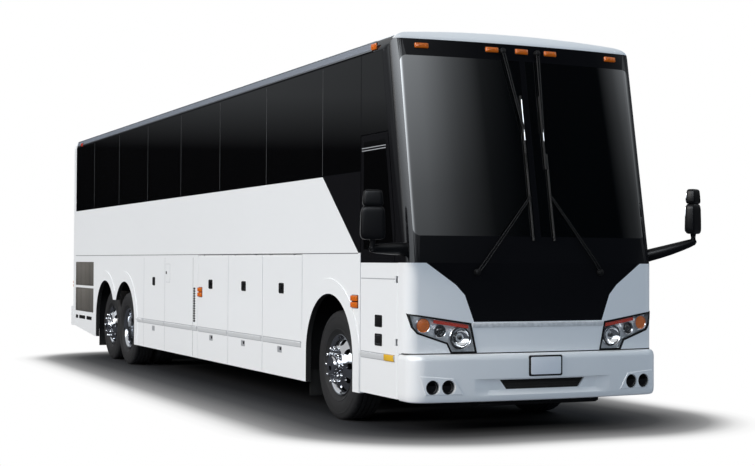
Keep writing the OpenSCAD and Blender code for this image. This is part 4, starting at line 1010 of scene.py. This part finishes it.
def rub_rail(kit, x0, x1, side):
    kit.add(strip(x0, x1, 0.700, side, RAIL), "rail")
    for z in (0.672, 0.728):
        kit.add(strip(x0, x1, z, side, LINE), "moulding")


def hinge_cover(kit, centre, along_axis, outward, upward, wrapped=True):
    outer, inner, low, high = 0.0250, 0.0210, -0.042, -0.017
    section = [(outer, low), (outer, high), (inner, high), (inner, low)]
    if wrapped:
        turns = [math.radians(a) for a in range(0, 41, 8)]
        section[1:3] = [(outer * math.cos(a), outer * math.sin(a)) for a in turns] + [
            (inner * math.cos(a), inner * math.sin(a)) for a in reversed(turns)]
    centre, along_axis, outward, upward = (Vector(v) for v in (centre, along_axis, outward, upward))
    kit.add(stack([[centre + along_axis * s + outward * o + upward * u for o, u in section]
                   for s in (-0.0305, 0.0305)]), "white")


for hand, side in SIDES.items():
    for n in (1, 2, 3):
        b_lo, b_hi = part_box("baggage_door_%s_%d" % (hand, n))
        kit = Kit("white", "rail", "moulding", "plastic")
        rub_rail(kit, b_lo.x + 0.012, b_hi.x - 0.012, side)
        mid, axis_z = (b_lo.x + b_hi.x) / 2, b_hi.z - HINGE_IN
        for x in (mid - HINGE_REACH, mid + HINGE_REACH):
            hinge_cover(kit, (x, side * (HALF - HINGE_IN), axis_z), (1, 0, 0), (0, side, 0), (0, 0, 1))
        patch(kit, (mid - 0.115, 0.580, mid + 0.020, 0.648), 0.012, LATCH, side, "moulding", 3)
        grip = ((0, 0.001), (0, 0.003), (0.002, 0.004))
        patch(kit, (mid - 0.040, 0.606, mid + 0.010, 0.638), 0.006, grip, side, "plastic", 3)
        show("baggage_trim_%s_%d" % (hand, n), kit.mesh("trim"), "baggage_%s_%d" % (hand, n))

# %% [markdown]
# ## Trim on the fixed sides
# Between the doors the rub rail goes on in four lengths. Fine dark lines stand for the joints between
# the service panels, for the joint at floor height and for the seals between the window panes. A grey
# gutter with two bright edges runs along the cove over the windows.

# %% Rails, seams, window dividers and gutter
TRIM_X = (-6.440, 6.000)
FIRST_DIVIDER, WINDOW = 4.792, 1.650       # front divider of the windows and distance to the next
GUTTER = [(-0.030, -0.016), (-0.030, -0.0075), (0.030, -0.025), (0.030, -0.034)]


def gutter_edge(h):
    return [(-0.010, h - 0.012), (-0.008, h + 0.003), (0.006, h + 0.001), (0.010, h - 0.014)]


for hand, side in SIDES.items():
    kit = Kit("rail", "moulding", "seal", "alloy", "gutter")
    for x0, x1 in ((-2.380, -1.975), (-1.955, -0.892), (-0.872, 0.412), (0.432, 0.620)):
        rub_rail(kit, x0, x1, side)
    for x, key in ((-1.965, "moulding"), (-0.882, "moulding"), (0.422, "seal")):
        kit.add(upright(x, 0.345, 1.600, side, 0.003, 0.002), key)
    kit.add(strip(TRIM_X[0], 5.690, 1.636, side, LINE), "seal")
    kit.add(strip(*TRIM_X, HEAD + 0.062, side, GUTTER), "gutter")
    for n in range(7):
        x = FIRST_DIVIDER - n * WINDOW
        kit.add(upright(x, SILL + 0.010, HEAD - 0.010, side, 0.002, 0.003), "seal")
    for z, h in ((HEAD + 0.020, 0.004), (HEAD + 0.098, -0.028)):
        kit.add(strip(*TRIM_X, z, side, gutter_edge(h)), "alloy")
    show("side_trim_" + hand, kit.mesh("trim"), "coach")

# %% [markdown]
# ## Trim on the entrance door, the driver's side and the engine door
# The entrance door carries its own length of rail, two handle cups, a yellow reflector, the seams and two
# flat hinge covers. Rail and seams end short of the hinge, because the open door swings close to the
# bumper. The driver's side repeats rail and reflector, and the engine door has two hinge covers.

# %% Doors at the front and the rear
DOOR_AXIS_X, RAIL_END = 6.542, 6.512
REFLECTOR = ((6.305, 0.672, 6.505, 0.728), 0.006, ((0, 0.002), (0, 0.014), (0.003, 0.016)))
door_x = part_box("entrance_door")[0].x
kit = Kit("white", "rail", "moulding", "plastic", "yellow", "chrome")
rub_rail(kit, door_x + 0.015, RAIL_END, -1)
for z in (0.845, 1.400):
    hinge_cover(kit, (DOOR_AXIS_X, HINGE_IN - HALF, z), (0, 0, 1), (0, -1, 0), (1, 0, 0), False)
for z in (2.588, 2.612):
    kit.add(strip(5.770, 6.300, z, -1, LINE), "moulding")
for z0, z1 in ((0.965, 1.075), (0.795, 0.905)):
    patch(kit, (6.085, z0, 6.240, z1), 0.014, ((0, -0.002), (0, 0.004), (0.004, 0.006)), -1)
patch(kit, (6.103, 0.811, 6.222, 0.889), 0.008, ((0, 0.002), (0, 0.007), (0.010, 0.004)), -1, "chrome")
patch(kit, (6.103, 0.985, 6.222, 1.055), 0.008, ((0, 0.002), (0, 0.009), (0.004, 0.010)), -1)
patch(kit, *REFLECTOR, -1, "yellow")
kit.add(strip(door_x + 0.010, 6.520, 1.404, -1, LINE), "moulding")
show("entrance_door_fittings", kit.mesh("fittings"), "entrance_door_body")
kit = Kit("rail", "moulding", "yellow")
rub_rail(kit, door_x + 0.015, RAIL_END, 1)
patch(kit, *REFLECTOR, 1, "yellow")
show("driver_side_trim", kit.mesh("trim"), "coach")
kit = Kit("white")
for y in (-0.5, 0.5):
    hinge_cover(kit, (TAIL_X + HINGE_IN, y, 1.667), (0, 1, 0), (-1, 0, 0), (0, 0, 1), False)
show("engine_hinge_covers", kit.mesh("covers"), "engine_door_body")

# %% [markdown]
# ## Handles, louvres and flaps
# Each baggage door has a black pull handle that rides with it. The fixed panels carry another handle, the
# fuel flap with its seal and catch, a latch, three louvres below the grilles and an upright row of beads,
# which are copies on a line.

# %% Small side fittings
CUP = ((0, -0.002), (0, 0.005), (0.006, 0.009), (0.016, 0.006))
FLAP_SEAL = ((0.001, -0.003), (0.001, 0.001), (0.005, 0.001), (0.005, -0.003))
for hand, side in SIDES.items():
    for n, x in ((1, 3.645), (2, 2.410), (3, 1.163)):
        kit = Kit("plastic")
        patch(kit, (x - 0.072, 1.214, x + 0.072, 1.326), 0.018, CUP, side)
        pull = ((0, 0.004), (0, 0.014), (0.004, 0.016))
        patch(kit, (x - 0.034, 1.262, x + 0.034, 1.304), 0.010, pull, side)
        body = "baggage_%s_%d" % (hand, n)
        show("baggage_handle_%s_%d" % (hand, n), kit.mesh("handle"), body)
    kit = Kit("plastic", "white", "moulding")
    patch(kit, (-1.491, 1.212, -1.375, 1.328), 0.018, CUP, side)
    flap = ((0, -0.002), (0, 0.001), (0.001, 0.002))
    patch(kit, (-0.820, 1.270, -0.640, 1.510), 0.015, flap, side, "white")
    edge = [(-0.826, 1.264), (-0.634, 1.264), (-0.634, 1.516), (-0.826, 1.516)]
    kit.add(slab(edge, FLAP_SEAL, on_side(side), loop=True), "moulding")
    patch(kit, (-1.510, 0.580, -1.375, 0.648), 0.012, LATCH, side, "moulding", 3)
    catch = ((0, 0.003), (0, 0.008), (0.002, 0.010))
    patch(kit, (-0.812, 1.375, -0.786, 1.415), 0.006, catch, side, "plastic", 3)
    louvre = ((0, -0.002), (0, 0.002), (0.002, 0.003))
    for x0, x1 in ((-6.390, -6.220), (-6.130, -5.690), (-5.580, -5.220)):
        patch(kit, (x0, 0.575, x1, 0.632), 0.010, louvre, side, "plastic", 3)
    bead = Kit("plastic")
    dome = ((0, -0.002), (0, 0.004), (0.003, 0.006))
    patch(bead, (0.452, 0.782, 0.524, 0.806), 0.008, dome, side, "plastic", 3)
    kit.add(as_shape(copies(ON_LINE, bead.mesh("bead"), "plastic", 14, step=(0, 0, 0.0315))))
    show("side_fittings_" + hand, kit.mesh("fittings"), "coach")

# %% [markdown]
# ## Seats
# A coach seat is two cushions, two backs and two headrests on a steel frame, soft all over. Each pad is a
# superellipsoid, which is a box whose faces swell and whose edges round off. One pair is copied along
# the saloon on each side, and the driver has a single seat.

# %% Upholster the seats
def pad(centre, size, lean=0.0):
    verts, faces = shell((0, 0, 0), size, 0.34, 8, 16)
    c, s = math.cos(lean), math.sin(lean)
    return [(centre[0] + x * c - z * s, centre[1] + y, centre[2] + x * s + z * c) for x, y, z in verts], faces


def seat(kit, x, y, z, width, places):
    each = width / places
    for k in range(places):
        yc = y - width / 2 + each * (k + 0.5)
        kit.add(pad((x + 0.215, yc, z + 0.385), (0.220, each / 2 - 0.008, 0.058)), "cloth")
        kit.add(pad((x - 0.085, yc, z + 0.660), (0.050, each / 2 - 0.008, 0.300), 0.24), "cloth")
        kit.add(pad((x - 0.160, yc, z + 1.000), (0.040, each / 2 - 0.070, 0.070), 0.24), "cloth")
        leg = [(x + 0.03, yc, z), (x + 0.03, yc, z + 0.33)]
        kit.add(tube(leg, (0.025, 0.025), 8, Vector((1, 0, 0))), "plastic")
    return kit


ROWS, ROW_PITCH = 14, 0.790
kit = Kit("cloth", "plastic")
pair = seat(Kit("cloth", "plastic"), 4.848, 0.740, 1.640, 0.930, 2).mesh("pair")
row = copies(ON_LINE, pair, "cloth", ROWS, step=(-ROW_PITCH, 0, 0))
for side in (-1, 1):
    kit.add(as_shape(row, Matrix.Diagonal((1, side, 1, 1))), "cloth")
seat(kit, 6.005, 0.640, 1.080, 0.520, 1)
padding = show("seat_pads", kit.mesh("seats"), "coach", ["seats"])

# %% [markdown]
# ## The floor
# The ground is darkened beside the coach by a painted shadow and is white a few metres away. The floor's
# material measures the distance to a rectangle under the coach and fades from the dark painted shadow to
# plain white. To bounced light it is a dim grey, and darker still in mirror-like paint, so that the white
# doesn't light the coach from below.

# %% Floor
def ramp_over(tree, value, low, high, stops):
    span, ramp = tree.nodes.new("ShaderNodeMapRange"), tree.nodes.new("ShaderNodeValToRGB")
    span.inputs["From Min"].default_value, span.inputs["From Max"].default_value = low, high
    tree.links.new(value, span.inputs["Value"])
    tree.links.new(span.outputs["Result"], ramp.inputs["Fac"])
    while len(ramp.color_ramp.elements) < len(stops):
        ramp.color_ramp.elements.new(0.5)
    for element, (place, level) in zip(ramp.color_ramp.elements, stops):
        element.position, element.color = (place - low) / (high - low), (level, level, level, 1)
    return ramp.outputs["Color"]


def mixed(tree, share, one, other):
    mix = tree.nodes.new("ShaderNodeMixShader")
    for value, socket in zip((share, one, other), mix.inputs):
        tree.links.new(value, socket)
    return mix.outputs[0]


corners = [(-200, -200, 0), (200, -200, 0), (200, 200, 0), (-200, 200, 0)]
floor = drawn(Kit("plate").add((corners, [(0, 1, 2, 3)])).mesh("floor"), "floor")
# The floor's dark base colour is a painted shadow round the coach, faded to white emission further out
pale = finish("floor_with_painted_shadow", (0.020, 0.021, 0.024), 0.9, mottle=(0.5, 0.1), spec=0.05)
tree = pale.node_tree
nodes, links = tree.nodes, tree.links
where = nodes.new("ShaderNodeTexCoord").outputs["Object"]
DISTANCE = (("ADD", (-0.60, -0.15, 0)), ("ABSOLUTE", None), ("SUBTRACT", (5.00, 0.70, 0)),
            ("MAXIMUM", (0, 0, 0)), ("LENGTH", None))
for operation, amount in DISTANCE:
    step = nodes.new("ShaderNodeVectorMath")
    step.operation = operation
    links.new(where, step.inputs[0])
    if amount:
        step.inputs[1].default_value = amount
    where = step.outputs["Value" if operation == "LENGTH" else "Vector"]
# Distance in metres and share of white, where the painted shadow round the coach fades out
PAINTED_SHADOW_FADE = ((0.484, 0.0), (0.748, 0.012), (1.056, 0.042), (1.254, 0.11), (1.452, 0.20), (1.562, 0.28),
           (1.694, 0.54), (1.826, 0.80), (1.958, 0.94), (2.112, 1.0))
fade = ramp_over(tree, where, 0.0, 2.2, PAINTED_SHADOW_FADE)
glow = nodes.new("ShaderNodeEmission")
shown = mixed(tree, fade, nodes["Principled BSDF"].outputs[0], glow.outputs[0])
rays = nodes.new("ShaderNodeLightPath")
for ray, colour in (("Is Diffuse Ray", (0.34, 0.36, 0.40, 1)), ("Is Glossy Ray", (0.10, 0.10, 0.11, 1))):
    dim = nodes.new("ShaderNodeBsdfDiffuse")
    dim.inputs["Color"].default_value = colour
    shown = mixed(tree, rays.outputs[ray], shown, dim.outputs[0])
links.new(shown, nodes["Material Output"].inputs["Surface"])
floor.data.materials[0] = pale
print("floor fades to white over", PAINTED_SHADOW_FADE[-1][0], "m")

# %% [markdown]
# ## What the paint and the glass mirror
# A ring far away, which only mirror-like rays can see, stands for the surroundings: dark near the ground,
# brighter with height, with a bright band at the front right and a dark gap at the front left. It thins
# out at the top, where the white sky takes over.

# %% Ring of surroundings
RING_R, RING_SIDES, RING_TOP = 42, 96, 32
turns = [math.tau * i / RING_SIDES for i in range(RING_SIDES)]
points = [(RING_R * math.cos(a), RING_R * math.sin(a), z) for z in (-1, RING_TOP) for a in turns]
pairs = [(i, (i + 1) % RING_SIDES) for i in range(RING_SIDES)]
faces = [(i, j, j + RING_SIDES, i + RING_SIDES) for i, j in pairs]
ring = drawn(Kit("plate").add((points, faces)).mesh("ring"), "dark_ring")
dusk = finish("dark_ring", (0.01, 0.01, 0.012), 1.0)
tree = dusk.node_tree
nodes, links = tree.nodes, tree.links
axes, turn = nodes.new("ShaderNodeSeparateXYZ"), nodes.new("ShaderNodeMath")
turn.operation = "ARCTAN2"
links.new(nodes.new("ShaderNodeTexCoord").outputs["Object"], axes.inputs[0])
links.new(axes.outputs["Y"], turn.inputs[0])
links.new(axes.outputs["X"], turn.inputs[1])
HEIGHTS = ((0.0, 0.001), (6.3, 0.004), (8.6, 0.13), (14.0, 0.18), (17.0, 0.32), (25.0, 1.0))
BEARINGS = ((-3.1, 0.8), (-2.72, 1.6), (-1.6, 2.0), (-1.2, 24.0), (-0.40, 24.0), (0.0, 3.6), (0.19, 2.5),
            (0.28, 0.95), (0.37, 0.14), (0.46, 0.01), (0.74, 0.01), (0.79, 0.9), (0.86, 4.6), (1.2, 1.5),
            (3.1, 0.5))
level = nodes.new("ShaderNodeMath")
level.operation = "MULTIPLY"
links.new(ramp_over(tree, axes.outputs["Z"], 0.0, 32.0, HEIGHTS), level.inputs[0])
links.new(ramp_over(tree, turn.outputs[0], -3.1416, 3.1416, BEARINGS), level.inputs[1])
fade = nodes.new("ShaderNodeMapRange")
fade.inputs["From Min"].default_value, fade.inputs["From Max"].default_value = 24.0, 32.0
links.new(axes.outputs["Z"], fade.inputs["Value"])
shade, see = nodes.new("ShaderNodeEmission"), nodes.new("ShaderNodeBsdfTransparent")
shade.inputs["Color"].default_value = (0.90, 0.95, 1.0, 1)
links.new(level.outputs[0], shade.inputs["Strength"])
shown = mixed(tree, fade.outputs["Result"], shade.outputs[0], see.outputs[0])
links.new(shown, nodes["Material Output"].inputs["Surface"])
ring.data.materials[0] = dusk
ring.visible_camera = ring.visible_diffuse = ring.visible_shadow = ring.visible_transmission = False
print("ring of", RING_R, "m radius")

# %% [markdown]
# ## Sky and sun
# The world is white where it is seen or mirrored, and a pale blue light on everything else. A wide, low
# sun from the right lights the near side and throws one soft shadow.

# %% World and sun
world = bpy.data.worlds.new("daylight")
bpy.context.scene.world = world
world.use_nodes = True
tree = world.node_tree
nodes, links = tree.nodes, tree.links
sky, white = nodes["Background"], nodes.new("ShaderNodeBackground")
sky.inputs["Color"].default_value = (0.72, 0.86, 1.0, 1)
sky.inputs["Strength"].default_value = 0.62
white.inputs["Color"].default_value = (1, 1, 1, 1)
rays = nodes.new("ShaderNodeLightPath")
seen = rays.outputs["Is Camera Ray"]
for ray in ("Is Glossy Ray", "Is Transmission Ray"):
    either = nodes.new("ShaderNodeMath")
    either.operation = "MAXIMUM"
    links.new(seen, either.inputs[0])
    links.new(rays.outputs[ray], either.inputs[1])
    seen = either.outputs[0]
shown = mixed(tree, seen, sky.outputs[0], white.outputs[0])
links.new(shown, nodes["World Output"].inputs["Surface"])

sun = bpy.data.objects.new("sun", bpy.data.lights.new("sun", "SUN"))
sun.data.energy, sun.data.angle = 2.37, math.radians(20)
sun.data.color = (1.0, 0.93, 0.85)
sun.rotation_euler = Vector((-0.02, 0.86, -0.38)).to_track_quat("-Z", "Y").to_euler()
bpy.context.scene.collection.objects.link(sun)
print("sun of strength", sun.data.energy)

# %% [markdown]
# ## The camera
# The photograph was taken with a long lens from the front right corner, at about the height of a person.
# A camera was fitted to it beforehand, so the picture can be laid over the photograph.

# %% Camera
yaw, pitch, roll = 2.7164, 0.0203, 0.005
look = Vector((math.cos(pitch) * math.cos(yaw), math.cos(pitch) * math.sin(yaw), math.sin(pitch)))
right = Vector((math.sin(yaw), -math.cos(yaw), 0))
up = right.cross(look)
r2, u2 = math.cos(roll) * right + math.sin(roll) * up, -math.sin(roll) * right + math.cos(roll) * up
camera = bpy.data.objects.new("camera", bpy.data.cameras.new("camera"))
camera.data.sensor_fit, camera.data.sensor_width, camera.data.lens = "HORIZONTAL", 36.0, 67.47
turned_to = Matrix((r2, u2, -look)).transposed().to_4x4()
camera.matrix_world = Matrix.Translation((17.8725, -6.6125, 1.5573)) @ turned_to
bpy.context.scene.collection.objects.link(camera)
bpy.context.scene.camera = camera
bpy.context.scene.view_settings.view_transform = "Standard"
print("camera at", [round(c, 2) for c in camera.location])
